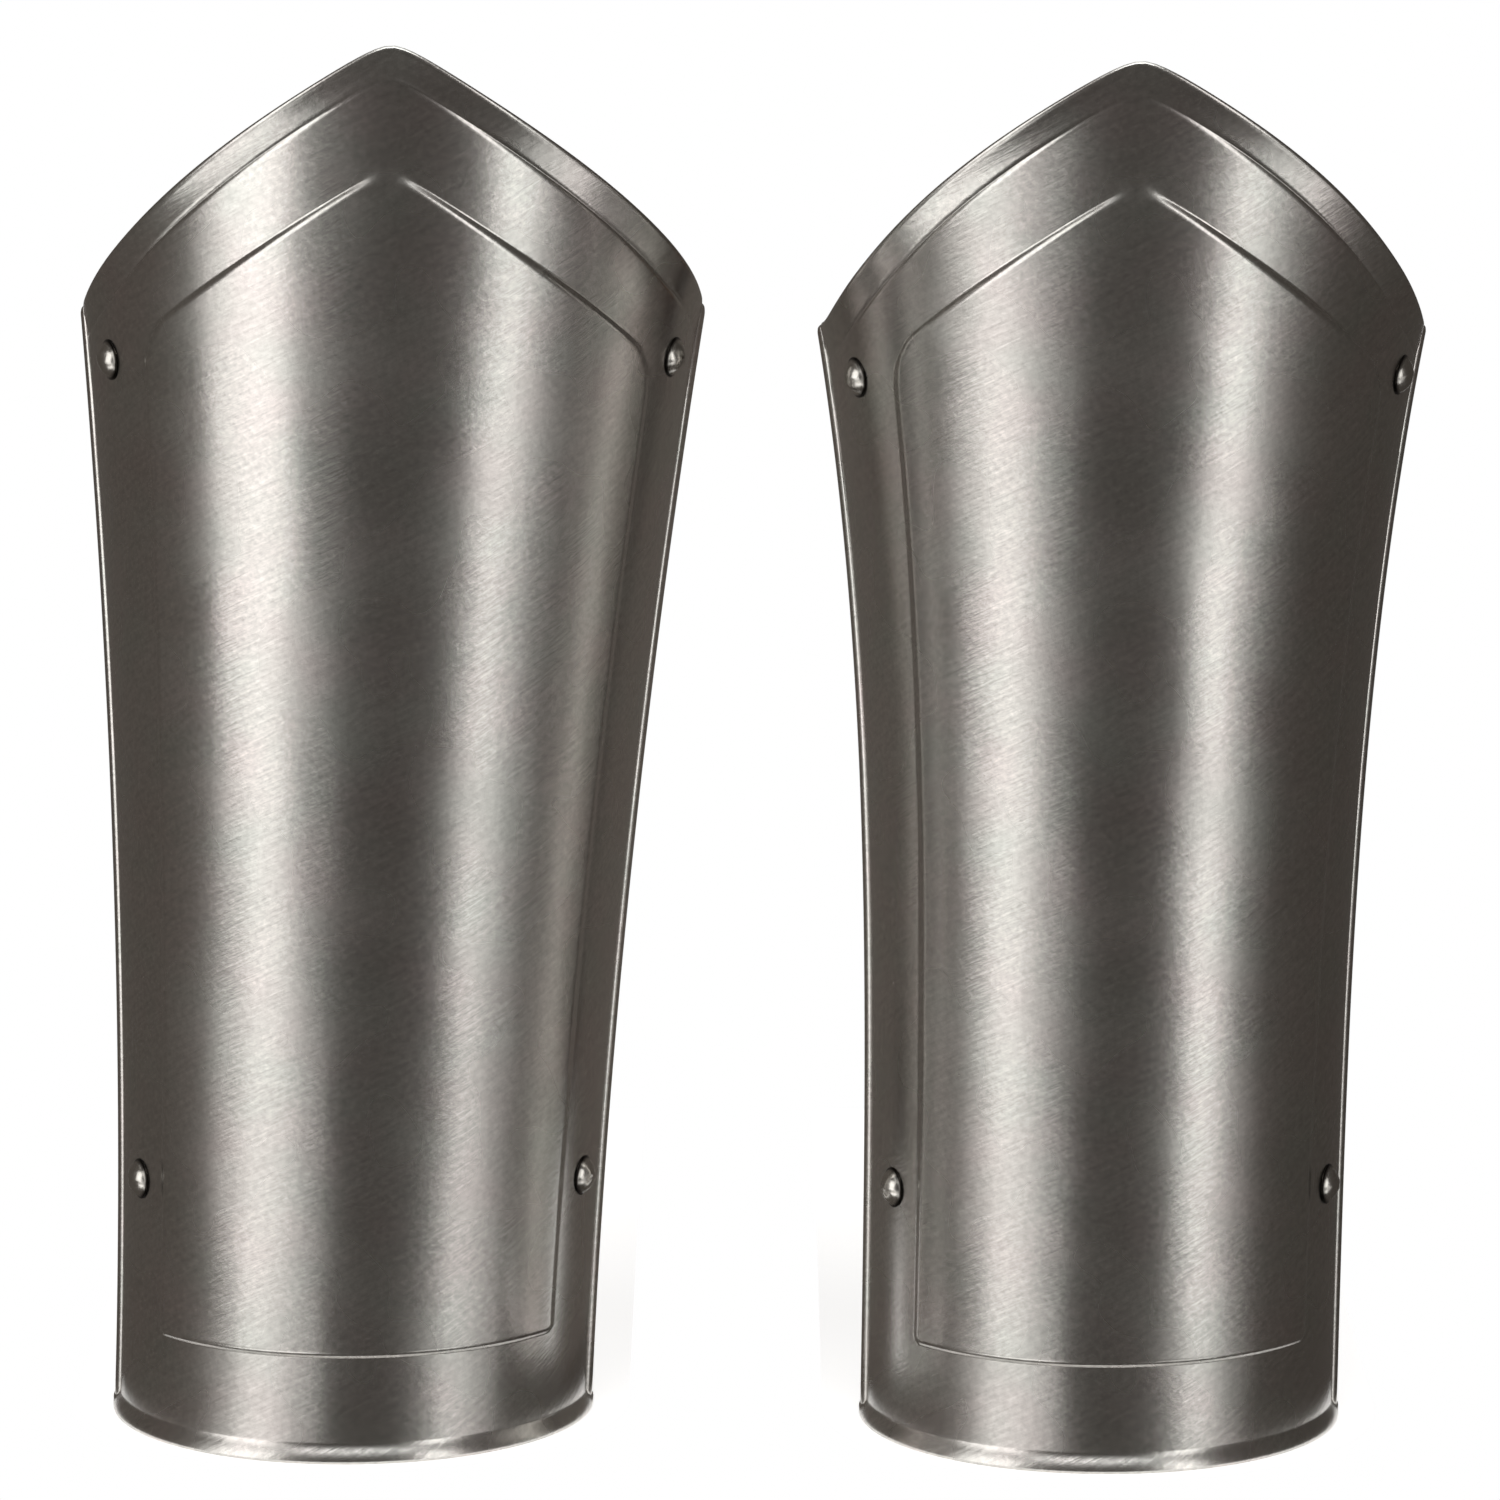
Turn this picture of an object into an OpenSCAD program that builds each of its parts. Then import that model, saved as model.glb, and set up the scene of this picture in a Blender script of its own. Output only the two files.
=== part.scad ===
// A pair of plate steel greaves: two shin guards standing side by side.
// Each is one raised sheet with a gabled top over the knee, an embossed panel and four dome rivets.
// Two riveted leather straps, each with a buckle, close the open back of each greave.
// X runs across the pair, the shins face -Y, and both foot edges stand on Z = 0. Lengths are in mm.

/* [Sheet] */
// Thickness of the steel sheet
sheet_t = 1.2; // [0.8:0.1:2]
// How far the plate wraps each way from the shin line, in degrees
wrap = 88; // [80:1:90]
// Share of the flare that goes to the calf side instead of the shin side
set_back = 0.6; // [0:0.05:1]

/* [Left greave] */
// Height of the peak over the knee
left_peak_h = 360; // [330:1:400]
// Height of the two upper corners
left_corner_h = 286; // [270:1:310]
// Width across the foot edge
left_foot_w = 119.4; // [112:0.1:140]
// Width across the upper corners
left_knee_w = 155.2; // [146:0.1:180]
// How late the flare to the knee starts, where 1 is a straight cone
left_flare = 1.9; // [1:0.1:4]
// Sideways lean of the shin line, in mm for each mm of height
left_lean = 0.042; // [-0.05:0.001:0.05]
// Height by which the outer shoulder falls below the gable line
left_outer_fall_h = 6; // [0:0.5:9]
// Height by which the inner shoulder falls below the gable line
left_inner_fall_h = 3; // [0:0.5:9]

/* [Right greave] */
// Height of the peak over the knee
right_peak_h = 357.5; // [330:0.5:400]
// Height of the two upper corners
right_corner_h = 283; // [270:1:310]
// Width across the foot edge
right_foot_w = 118.8; // [112:0.1:140]
// Width across the upper corners
right_knee_w = 151; // [146:0.1:180]
// How late the flare to the knee starts, where 1 is a straight cone
right_flare = 3.2; // [1:0.1:4]
// Sideways lean of the shin line, in mm for each mm of height
right_lean = 0.015; // [-0.05:0.001:0.05]
// Height by which the outer shoulder falls below the gable line
right_outer_fall_h = 7.5; // [0:0.5:9]
// Height by which the inner shoulder falls below the gable line
right_inner_fall_h = 8; // [0:0.5:9]

/* [Stance] */
// Distance between the middles of the two foot edges
stance = 192; // [185:0.1:260]
// How far the right greave stands in front of the left one
right_forward = 9.5; // [0:0.5:40]

/* [Edges] */
// How far the top edge sags below a straight line between peak and corner
top_sag = 3; // [0:0.5:8]
// Share of the top edge taken up by the rounding of the peak
peak_round = 0.04; // [0.01:0.01:0.2]
// Radius of the upper corners
corner_r = 6; // [2:0.5:9]
// Radius of the foot corners
foot_corner_r = 4; // [1:0.5:6]
// Width of the cove that turns the top edge out
cove_w = 9.5; // [5:0.5:14]
// How far the top edge stands out
cove_out = 3.4; // [1:0.1:5]
// How far the top edge stands out at the upper corners
corner_out = 0.8; // [0:0.1:2]
// Length of top edge over which the cove fades towards a corner
cove_fade_l = 45; // [20:1:80]
// Height of the flange that turns the foot edge out
flange_h = 5.5; // [3:0.5:9]
// How far the foot edge stands out
flange_out = 1.8; // [0.5:0.1:3]
// Width of the rolled side edge
roll_w = 3.6; // [2:0.1:6]
// How far the rolled side edge stands out
roll_out = 1.2; // [0.3:0.1:2]

/* [Embossed panel] */
// Height of the raised panel above the border
panel_rise = 1; // [0.3:0.1:2]
// Width of the step round the panel
step_w = 2.4; // [1:0.1:4]
// Height of the panel's lower line above the foot
panel_foot = 28; // [20:0.5:50]
// Distance of the panel's upper line below the gable line
panel_drop = 32.5; // [26:0.5:60]
// Angle of the panel's side lines from the shin line, in degrees
panel_half = 54.5; // [35:0.5:60]
// Turn of the side lines at the foot, in degrees
panel_turn_foot = 1.5; // [-5:0.5:5]
// Turn of the side lines at the knee, in degrees
panel_turn_knee = 5; // [-6:0.5:6]

/* [Rivets] */
// Angle of the rivets from the shin line, in degrees
rivet_angle = 66.5; // [64:0.5:72]
// Turn of the rivets about the shin line, in degrees
rivet_turn = 2; // [-2:0.5:2]
// Height of the lower rivets above the foot
lower_rivet_h = 65.5; // [50:0.5:120]
// Height from the middles of the upper rivets to the upper corners
upper_rivet_gap = 10.5; // [9:0.5:40]
// Width of the domed head
head_d = 9.6; // [8:0.1:11]
// Height of the domed head
head_h = 3; // [1.5:0.1:4]
// Thickness of the shank
shank_d = 4; // [3:0.1:5]
// Width of the peened end
peen_d = 6; // [5.5:0.1:7]
// Height of the peened end
peen_h = 1.2; // [0.8:0.1:2]
// Width of the burr under the peened end
burr_d = 9.4; // [8:0.1:9.6]
// Thickness of the burr
burr_t = 0.8; // [0.5:0.1:1.2]

/* [Straps] */
// Width of the straps
strap_w = 16; // [12:0.5:18]
// Thickness of the long strap
strap_t = 2; // [1.5:0.1:2.5]
// Thickness of the short strap that holds the buckle
chape_t = 1.6; // [1.2:0.1:2]
// Radius of the straps' bend behind the leg
bend_r = 30; // [24:0.5:31]
// Straight run between the plate's rear edge and the bend
lead = 10; // [4:0.5:30]
// Length of strap on the plate beyond the rivet
strap_end_l = 10; // [7:0.5:14]
// Distance between the tongue holes
hole_pitch = 14; // [11:0.5:16]
// Width of the long strap at its tip
tip_w = 5; // [3:0.5:10]
// Length of a tongue hole
hole_l = 7; // [6.6:0.1:7.4]
// Width of a tongue hole
hole_w = 3.4; // [3:0.1:4]
// Length of the long strap past the buckle bar
tail_l = 34; // [33:0.5:36]
// Width of the slot for the tongue in the chape's fold
fold_slot_w = 5; // [4.5:0.1:6]
// Length of the chape's folded end
fold_l = 30; // [28:0.5:31]

/* [Buckles] */
// Thickness of the buckle's wire
wire_d = 3; // [2.6:0.1:3.4]
// Distance from the buckle bar to the far bar
frame_l = 17; // [16:0.5:19]
// Lift of the buckle frame off the strap, in degrees
frame_tilt = 16; // [14:0.5:20]
// Thickness of the tongue's wire
tongue_d = 2.4; // [2:0.1:2.6]
// Length of the keeper loop along the strap
keeper_l = 7; // [5:0.5:8]
// Thickness of the keeper's leather
keeper_t = 1.5; // [1:0.1:2]
// Distance of the keeper's middle from the buckle bar
keeper_at = 16; // [15.5:0.5:16.5]
// Height of the tongue's eye
eye_h = 4; // [3:0.1:4.2]
// Width of the small rivets that close the chape
chape_rivet_d = 5; // [3.5:0.1:6]

/* [Clearances] */
// Gap between leather and the metal or leather that it lies on
seat_gap = 0.25; // [0.2:0.05:0.35]
// Gap round a rivet's shank
bore_gap = 0.1; // [0.05:0.01:0.15]
// Running gap between the tongue's eye and the buckle bar
pin_gap = 0.08; // [0.05:0.01:0.1]
// Gap beside a strap in its buckle and keeper
side_gap = 0.6; // [0.3:0.05:1]

/* [Hidden] */
$fn = 48;
eps = 0.02;
LEFT = 0;
RIGHT = 1;
UPPER = 0;
LOWER = 1;

// One value for each greave. The right one is built mirrored, so its lean and turns change sign.
peak_h = [left_peak_h, right_peak_h];
corner_h = [left_corner_h, right_corner_h];
foot_r = [left_foot_w, right_foot_w] / 2;
knee_r = [left_knee_w, right_knee_w] / 2;
flare = [left_flare, right_flare];
lean = [left_lean, -right_lean];
turned = [1, -1];
fall_h = [[left_outer_fall_h, left_inner_fall_h], [right_outer_fall_h, right_inner_fall_h]];

// Grid of the plate: rows from the foot to the top edge, columns from the outer side edge to the
// inner one.
foot_rows = [0, 0.35, 0.7, 1] * flange_h;
top_rows = [1, 0.75, 0.5, 0.25, 0.08, 0];
edge_cols = [0, 0.35, 0.7, 1] * roll_w;
panel_rows = 10;
panel_cols = 20;
border_rows = 2;
border_cols = 5;

function mix(a, b, t) = a + (b - a) * t;
function ease(t) = let (u = min(max(t, 0), 1)) u * u * (3 - 2 * u);
function unit(v) = v / norm(v);
function arc_deg(len, r) = len / r * 180 / PI;
function arc_len(deg, r) = deg * r * PI / 180;

// Plate form. Each level is an arc round the shin, whose radius grows from the foot to the knee.
function radius(k, z) = mix(foot_r[k], knee_r[k], pow(max(z, 0) / corner_h[k], flare[k]));
function flare_rate(k, z) = (radius(k, z + 0.5) - radius(k, z - 0.5));
function centre(k, z) = [lean[k] * z, set_back * (radius(k, z) - foot_r[k]), z];
function outward(a) = [sin(a), -cos(a), 0];
function skin(k, a, z, d) = centre(k, z) + outward(a) * (radius(k, z) + d);
function skin_up(k, a, z) = let (f = flare_rate(k, z))
    unit([lean[k] + f * sin(a), f * (set_back - cos(a)), 1]);
function skin_normal(k, a, z) = unit(cross([cos(a), sin(a), 0], skin_up(k, a, z)));

// Edges. A corner of radius r takes this much off an edge at a distance e from the corner.
function corner_cut(e, r) = e < r ? r - sqrt(r * r - (r - e) * (r - e)) : 0;
function gable(x) = (sqrt(x * x + peak_round * peak_round) - peak_round)
    / (sqrt(1 + peak_round * peak_round) - peak_round);
function gable_edge(k, a) = let (x = abs(a) / wrap)
    peak_h[k] - (peak_h[k] - corner_h[k]) * gable(x) - 4 * top_sag * x * (1 - x);
// The shoulders fall furthest below that line at this share of the way from peak to corner.
fall_at = 0.75;
function shoulder_fall(k, a) = let (x = abs(a) / wrap)
    fall_h[k][a < 0 ? 0 : 1] * pow(x / fall_at, 3) * (1 - x) / (1 - fall_at);
function top_edge(k, a) = gable_edge(k, a) - shoulder_fall(k, a)
    - corner_cut(arc_len(wrap - abs(a), knee_r[k]), corner_r);
function foot_edge(k, a) = corner_cut(arc_len(wrap - abs(a), foot_r[k]), foot_corner_r);

// Angles of the grid's columns at a share v of the height, and heights of its rows at an angle.
function panel_side(k, s, v) = s * panel_half + turned[k] * mix(panel_turn_foot, panel_turn_knee, v);
function side_cols(k, s, v) = let (
        r = mix(foot_r[k], knee_r[k], v),
        inner = s * wrap - s * arc_deg(roll_w, r),
        step = arc_deg(step_w / 2, r),
        line = panel_side(k, s, v)
    ) concat([for (e = edge_cols) s * (wrap - arc_deg(e, r))],
        [for (i = [1 : border_cols]) mix(inner, line + s * step, i / (border_cols + 1))],
        [line + s * step, line - s * step]);
function reversed(l) = [for (i = [len(l) - 1 : -1 : 0]) l[i]];
function columns(k, v) = let (
        first = side_cols(k, -1, v),
        last = side_cols(k, 1, v),
        from = first[len(first) - 1],
        to = last[len(last) - 1]
    ) concat(first, [for (i = [1 : panel_cols - 1]) mix(from, to, i / panel_cols)], reversed(last));
function rows(k, a) = let (
        low = foot_edge(k, a),
        high = top_edge(k, a),
        p0 = low + panel_foot,
        p1 = gable_edge(k, a) - panel_drop,
        half = step_w / 2
    ) concat([for (h = foot_rows) low + h],
        [for (i = [1 : border_rows]) mix(low + flange_h, p0 - half, i / (border_rows + 1))],
        [p0 - half, p0 + half],
        [for (i = [1 : panel_rows - 1]) mix(p0 + half, p1 - half, i / panel_rows)],
        [p1 - half, p1 + half],
        [for (i = [1 : border_rows]) mix(p1 + half, high - cove_w, i / (border_rows + 1))],
        [for (h = top_rows) high - h * cove_w]);

// How far the top edge stands out at angle a.
function cove_at(k, a) = mix(corner_out, cove_out,
    ease(arc_len(wrap - abs(a), knee_r[k]) / cove_fade_l));

// How far the sheet stands out from its plain form at row i and column j of an m by n grid. The cove
// stands out by the length cove at its edge.
function relief(i, j, m, n, cove) = let (
        side = min(j, n - j),
        foot = i < len(foot_rows) ? flange_out * (1 - foot_rows[i] / flange_h) : 0,
        t = m - i < len(top_rows) ? 1 - top_rows[i - m + len(top_rows) - 1] : 0,
        roll = side < len(edge_cols) ? roll_out * pow(1 - edge_cols[side] / roll_w, 2) : 0,
        inside_cols = side > len(edge_cols) + border_cols,
        inside_rows = i > len(foot_rows) + border_rows && m - i > len(top_rows) + border_rows
    ) max(foot, cove * t * t, roll) + (inside_cols && inside_rows ? panel_rise : 0);

function plate_points(k, d) = let (
        m = len(rows(k, 0)) - 1,
        n = len(columns(k, 0)) - 1
    ) [for (i = [0 : m]) let (cols = columns(k, i / m)) for (j = [0 : n])
        skin(k, cols[j], rows(k, cols[j])[i], d + relief(i, j, m, n, cove_at(k, cols[j])))];

// Faces between two grids of m by n cells, the second one after the first in the list of points.
function quad(a, b, c, d) = [[a, b, c], [a, c, d]];
function shell_faces(m, n) = let (w = n + 1, back = (m + 1) * w) [
    for (i = [0 : m - 1]) for (j = [0 : n - 1]) let (p = i * w + j)
        each quad(p, p + w, p + w + 1, p + 1),
    for (i = [0 : m - 1]) for (j = [0 : n - 1]) let (p = back + i * w + j)
        each quad(p, p + 1, p + w + 1, p + w),
    for (j = [0 : n - 1]) each quad(j, j + 1, back + j + 1, back + j),
    for (j = [0 : n - 1]) let (p = m * w + j) each quad(p, back + p, back + p + 1, p + 1),
    for (i = [0 : m - 1]) let (p = i * w) each quad(p, back + p, back + p + w, p + w),
    for (i = [0 : m - 1]) let (p = i * w + n) each quad(p, p + w, back + p + w, back + p)];

// Rivets and the strap seats on the inner face. Side -1 is the leg's outer side, 1 its inner side.
function level_z(k, l) = l == UPPER ? corner_h[k] - upper_rivet_gap : lower_rivet_h;
function rivet_a(k, s) = s * rivet_angle + turned[k] * rivet_turn;
function leather_t(s) = s < 0 ? chape_t : strap_t;
function seat_depth(s) = sheet_t / 2 + seat_gap + leather_t(s) / 2;
bore_d = shank_d + 2 * bore_gap;
drill_l = 14;
overlap = 0.2;

// Behind the leg each strap pair runs straight along X. Its places are given as s along X and
// n along Y, from the axis of the buckle bar.
function edge_x(k, l, s) = skin(k, s * wrap, level_z(k, l), -seat_depth(s))[0];
function edge_y(k, l) = skin(k, wrap, level_z(k, l), -seat_depth(1))[1];
bar_r = wire_d / 2;
fold_gap = 0.15;
ply_gap = 0.1;
fold_in = bar_r + fold_gap;
fold_mid = fold_in + chape_t / 2;
ply = chape_t / 2 + ply_gap;
chape_top = ply + chape_t / 2;
strap_flat = chape_top + seat_gap + strap_t / 2;
strap_over = fold_mid + chape_t / 2 + seat_gap + strap_t / 2;
far_bar = frame_l * [cos(frame_tilt), sin(frame_tilt)];
strap_under = far_bar[1] - bar_r - seat_gap - strap_t / 2;
taper = 8;
strap_middle = (tail_l - far_bar[0] - taper) / 2;
function bar_at(k, l) = [lean[k] * level_z(k, l) + strap_middle,
    edge_y(k, l) + lead + bend_r - ply, level_z(k, l)];

// Height n of the long strap's middle over the buckle bar's axis.
function strap_n(s) =
    s < -1 ? mix(strap_flat, strap_over, ease((s + taper) / (taper - 1)))
    : s < far_bar[0] - 1 ? mix(strap_over, strap_under, ease((s + 1) / far_bar[0]))
    : mix(strap_under, ply, ease((s - far_bar[0] + 1) / taper));
function chape_n(s) = mix(ply, fold_mid, ease((s + taper) / taper));

// A strap is a list of stations: place, outward direction, width direction and half width.
// The stations go round the leg from the leg's outer side to its inner side.
up = [0, 0, 1];
half_w = strap_w / 2;
clipped = 2;
turn_steps = 8;
slope_step = 0.2;
function seat_station(k, l, s, a, hw) = let (z = level_z(k, l))
    [skin(k, a, z, -seat_depth(s)), skin_normal(k, a, z), skin_up(k, a, z), hw];
function seat_stations(k, l, s) = let (
        r = radius(k, level_z(k, l)),
        a0 = rivet_a(k, s) - s * arc_deg(strap_end_l, r)
    ) [for (i = [0 : turn_steps])
        seat_station(k, l, s, mix(a0, s * wrap, i / turn_steps), half_w - (i == 0 ? clipped : 0))];
function bend_stations(k, l, s) = let (
        z = level_z(k, l),
        hub = [edge_x(k, l, s) - s * bend_r, edge_y(k, l) + lead, z],
        tilt = skin_up(k, s * wrap, z)
    ) [for (i = [0 : turn_steps]) let (
            a = i / turn_steps * 90,
            out = [s * cos(a), sin(a), 0],
            w = unit(mix(tilt, up, ease(i / turn_steps)))
        ) [hub + out * bend_r, unit(out - w * (out * w)), w, half_w]];
function rear_station(k, l, s, n, slope, hw) =
    [bar_at(k, l) + [s, n, 0], [-sin(slope), cos(slope), 0], up, hw];
function strap_slope(s) = atan2(strap_n(s + slope_step) - strap_n(s - slope_step), 2 * slope_step);
function chape_slope(s) = atan2(chape_n(s + slope_step) - chape_n(s - slope_step), 2 * slope_step);

function strap_stations(k, l) = let (
        tip_steps = 3,
        tip_step = 2,
        from_bend = far_bar[0] + taper,
        pieces = 22
    ) concat(
        [for (i = [0 : tip_steps]) rear_station(k, l, -tail_l + i * tip_step, strap_flat, 0,
            mix(tip_w / 2, half_w, sin(i * 90 / tip_steps)))],
        [for (i = [0 : pieces]) let (s = mix(-taper, from_bend, i / pieces))
            rear_station(k, l, s, strap_n(s), strap_slope(s), half_w)],
        reversed(bend_stations(k, l, 1)),
        reversed(seat_stations(k, l, 1)));
function chape_stations(k, l) = let (pieces = 6, turns = 12) concat(
        seat_stations(k, l, -1),
        bend_stations(k, l, -1),
        [for (i = [0 : pieces - 1]) let (s = -taper * (1 - i / pieces))
            rear_station(k, l, s, chape_n(s), chape_slope(s), half_w)],
        [for (i = [0 : turns]) let (a = 90 - i / turns * 180)
            [bar_at(k, l) + [cos(a), sin(a), 0] * fold_mid, [cos(a), sin(a), 0], up, half_w]],
        [for (i = [1 : pieces]) let (s = -taper * i / pieces)
            rear_station(k, l, s, -chape_n(s), 180 - chape_slope(s), half_w)],
        [rear_station(k, l, -fold_l, -ply, 180, half_w)]);

// A flat band of thickness t through a list of stations.
function band_points(st, t) = [for (q = st) each [
    q[0] + q[1] * t / 2 + q[2] * q[3], q[0] + q[1] * t / 2 - q[2] * q[3],
    q[0] - q[1] * t / 2 - q[2] * q[3], q[0] - q[1] * t / 2 + q[2] * q[3]]];
module band(st, t) {
    last = 4 * (len(st) - 1);
    polyhedron(band_points(st, t), concat(
        [for (i = [0 : len(st) - 2]) for (c = [0 : 3]) let (p = 4 * i, q = (c + 1) % 4)
            each quad(p + c, p + q, p + 4 + q, p + 4 + c)],
        quad(3, 2, 1, 0),
        quad(last, last + 1, last + 2, last + 3)));
}

// The pair is centred over its origin.
left_x = skin(LEFT, -wrap, corner_h[LEFT] - corner_r, roll_out + sheet_t / 2)[0];
right_x = -skin(RIGHT, -wrap, corner_h[RIGHT] - corner_r, roll_out + sheet_t / 2)[0];
front_y = skin(RIGHT, 0, peak_h[RIGHT], cove_out + sheet_t / 2)[1] - right_forward;
rear_y = bar_at(LEFT, UPPER)[1] + far_bar[1] + bar_r + tongue_d;
foot_at = [[-stance / 2 - (left_x + right_x) / 2, -(front_y + rear_y) / 2, 0],
    [stance / 2 - (left_x + right_x) / 2, -(front_y + rear_y) / 2 - right_forward, 0]];

steel = [0.62, 0.61, 0.59];
leather = [0.2, 0.12, 0.07];

// Stands a greave on its foot. The right greave is the mirror image of the left one's build.
module greave(k) {
    translate(foot_at[k]) mirror([k, 0, 0]) children();
}

// Places something on the skin, with its Z axis along the outward normal.
module on_skin(k, a, z, d) {
    n = skin_normal(k, a, z);
    translate(skin(k, a, z, 0) + n * d) rotate([0, acos(n[2]), atan2(n[1], n[0])]) children();
}

// Places something at a buckle bar, with X along the strap, Y outward and Z up.
module at_bar(k, l) {
    translate(bar_at(k, l)) children();
}

module each_rivet(k) {
    for (l = [UPPER, LOWER]) for (s = [-1, 1]) {
        $side = s;
        on_skin(k, rivet_a(k, s), level_z(k, l), 0) children();
    }
}

module plate(k) {
    color(steel) greave(k) difference() {
        polyhedron(
            concat(plate_points(k, sheet_t / 2), plate_points(k, -sheet_t / 2)),
            shell_faces(len(rows(k, 0)) - 1, len(columns(k, 0)) - 1));
        each_rivet(k) cylinder(d = bore_d, h = drill_l, center = true);
    }
}

module dome(d, h) {
    ball = (d * d / 4 + h * h) / (2 * h);
    intersection() {
        translate([0, 0, h - ball]) sphere(ball);
        cylinder(d = d + 1, h = h + 1);
    }
}

module rivets(k) {
    color(steel) greave(k) each_rivet(k) {
        peen_z = -seat_depth($side) - leather_t($side) / 2 - seat_gap - burr_t - eps;
        translate([0, 0, sheet_t / 2 + eps]) dome(head_d, head_h);
        translate([0, 0, peen_z - overlap])
            cylinder(d = shank_d, h = sheet_t / 2 + 2 * overlap - peen_z);
        translate([0, 0, peen_z]) mirror([0, 0, 1]) dome(peen_d, peen_h);
    }
}

module burrs(k) {
    color(steel) greave(k) each_rivet(k) {
        top = -seat_depth($side) - leather_t($side) / 2 - seat_gap;
        translate([0, 0, top - burr_t]) difference() {
            cylinder(d = burr_d, h = burr_t);
            translate([0, 0, -1]) cylinder(d = bore_d, h = burr_t + 2);
        }
    }
}

module slot_y(l, w, h) {
    for (x = [-1, 1]) translate([x * (l - w) / 2, 0, 0]) rotate([90, 0, 0])
        cylinder(d = w, h = h, center = true);
    cube([l - w, h, w], center = true);
}

// The tongue passes the second hole from the bend, whose middle lies a little past the bar.
module strap(k, l) {
    hole_shift = 2.5;
    color(leather) greave(k) difference() {
        band(strap_stations(k, l), strap_t);
        on_skin(k, rivet_a(k, 1), level_z(k, l), 0) cylinder(d = bore_d, h = drill_l, center = true);
        at_bar(k, l) for (i = [-2 : 1])
            translate([hole_shift + i * hole_pitch, strap_flat, 0]) slot_y(hole_l, hole_w, drill_l);
    }
}

module chape_rivet_places() {
    from_end = 4.5;
    for (z = [-1, 1])
        translate([from_end - fold_l, 0, z * strap_w / 4]) rotate([90, 0, 0]) children();
}

// The small rivets lie flush, in pockets sunk into both faces of the folded chape.
pocket_t = 0.5;
pocket_gap = 0.1;
pocket_top = 1.5;
pin_d = 2.5;

module chape(k, l) {
    slot_in = 5.5;
    slot_out = 5;
    color(leather) greave(k) difference() {
        band(chape_stations(k, l), chape_t);
        on_skin(k, rivet_a(k, -1), level_z(k, l), 0) cylinder(d = bore_d, h = drill_l, center = true);
        at_bar(k, l) {
            translate([-slot_in, -drill_l / 2, -fold_slot_w / 2])
                cube([slot_in + slot_out, drill_l, fold_slot_w]);
            chape_rivet_places() {
                cylinder(d = pin_d + pocket_gap, h = drill_l, center = true);
                for (y = [-1, 1]) translate([0, 0, y * (chape_top + pocket_top)])
                    cylinder(d = chape_rivet_d + 2 * pocket_gap, h = 2 * (pocket_t + pocket_top),
                        center = true);
            }
        }
    }
}

module chape_rivets(k, l) {
    color(steel) greave(k) at_bar(k, l) chape_rivet_places() {
        cylinder(d = pin_d, h = 2 * chape_top - pocket_t, center = true);
        for (y = [-1, 1]) translate([0, 0, y * (chape_top - pocket_t / 2)])
            cylinder(d = chape_rivet_d, h = pocket_t - 2 * eps, center = true);
    }
}

// Wire buckle: a straight bar along Z, two arms and a far bar with bent corners.
module buckle(k, l) {
    arm_z = half_w + side_gap + bar_r;
    bend = 4 * wire_d / 3;
    color(steel) greave(k) at_bar(k, l) rotate([0, 0, frame_tilt]) {
        cylinder(d = wire_d, h = 2 * arm_z, center = true);
        for (z = [-1, 1]) translate([0, 0, z * arm_z]) {
            sphere(d = wire_d);
            rotate([0, 90, 0]) cylinder(d = wire_d, h = frame_l - bend);
            translate([frame_l - bend, 0, -z * bend]) rotate([90, 0, 0])
                rotate([0, 0, z > 0 ? 0 : -90]) rotate_extrude(angle = 90)
                translate([bend, 0]) circle(d = wire_d);
        }
        translate([frame_l, 0, 0]) cylinder(d = wire_d, h = 2 * (arm_z - bend), center = true);
    }
}

// A round bar through points [s, n, r] over the buckle bar's axis, where r is its radius there.
function heading(q, i) = let (d = q[min(i + 1, len(q) - 1)] - q[max(i - 1, 0)]) unit([d[0], d[1], 0]);
function ring_points(q, i, sides) = let (t = heading(q, i), side = [-t[1], t[0], 0])
    [for (c = [0 : sides - 1]) let (a = c * 360 / sides)
        [q[i][0], q[i][1], 0] + (side * cos(a) + up * sin(a)) * q[i][2]];
module round_bar(q, sides) {
    last = sides * (len(q) - 1);
    polyhedron([for (i = [0 : len(q) - 1]) each ring_points(q, i, sides)], concat(
        [for (i = [0 : len(q) - 2]) for (c = [0 : sides - 1])
            let (p = sides * i, e = (c + 1) % sides)
            each quad(p + c, p + sides + c, p + sides + e, p + e)],
        [[for (c = [0 : sides - 1]) c]],
        [[for (c = [sides - 1 : -1 : 0]) last + c]]));
}

// Wire tongue: an eye round the bar, a short rise through the strap's hole, and a long arm
// that rests on the far bar and thins towards its tip.
module tongue(k, l) {
    rise_a = 48;
    rise_l = 9;
    eye_wall = 1.4;
    rest_gap = 0.05;
    eye_r = bar_r + pin_gap;
    r = tongue_d / 2;
    rise = [cos(rise_a), sin(rise_a)];
    rest = far_bar + [0, bar_r + r + rest_gap];
    elbow = rise_l * rise;
    arm = rest - elbow;
    turn = 2;
    into_arm = elbow + turn * unit(arm);
    out_of_rise = elbow - turn * rise;
    bend = [for (i = [0 : 4]) let (t = i / 4)
        mix(mix(out_of_rise, elbow, t), mix(elbow, into_arm, t), t)];
    tip = rest + turn * unit(arm) - [0, 3 * rest_gap];
    tip_share = 0.7;
    sides = 10;
    path = concat([rise * (eye_r + eye_wall / 2)], bend, [rest, tip]);
    color(steel) greave(k) at_bar(k, l) {
        difference() {
            cylinder(r = eye_r + eye_wall, h = eye_h, center = true);
            cylinder(r = eye_r, h = eye_h + 2, center = true);
        }
        round_bar([for (i = [0 : len(path) - 1])
            [path[i][0], path[i][1], i == len(path) - 1 ? tip_share * r : r]], sides);
    }
}

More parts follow.
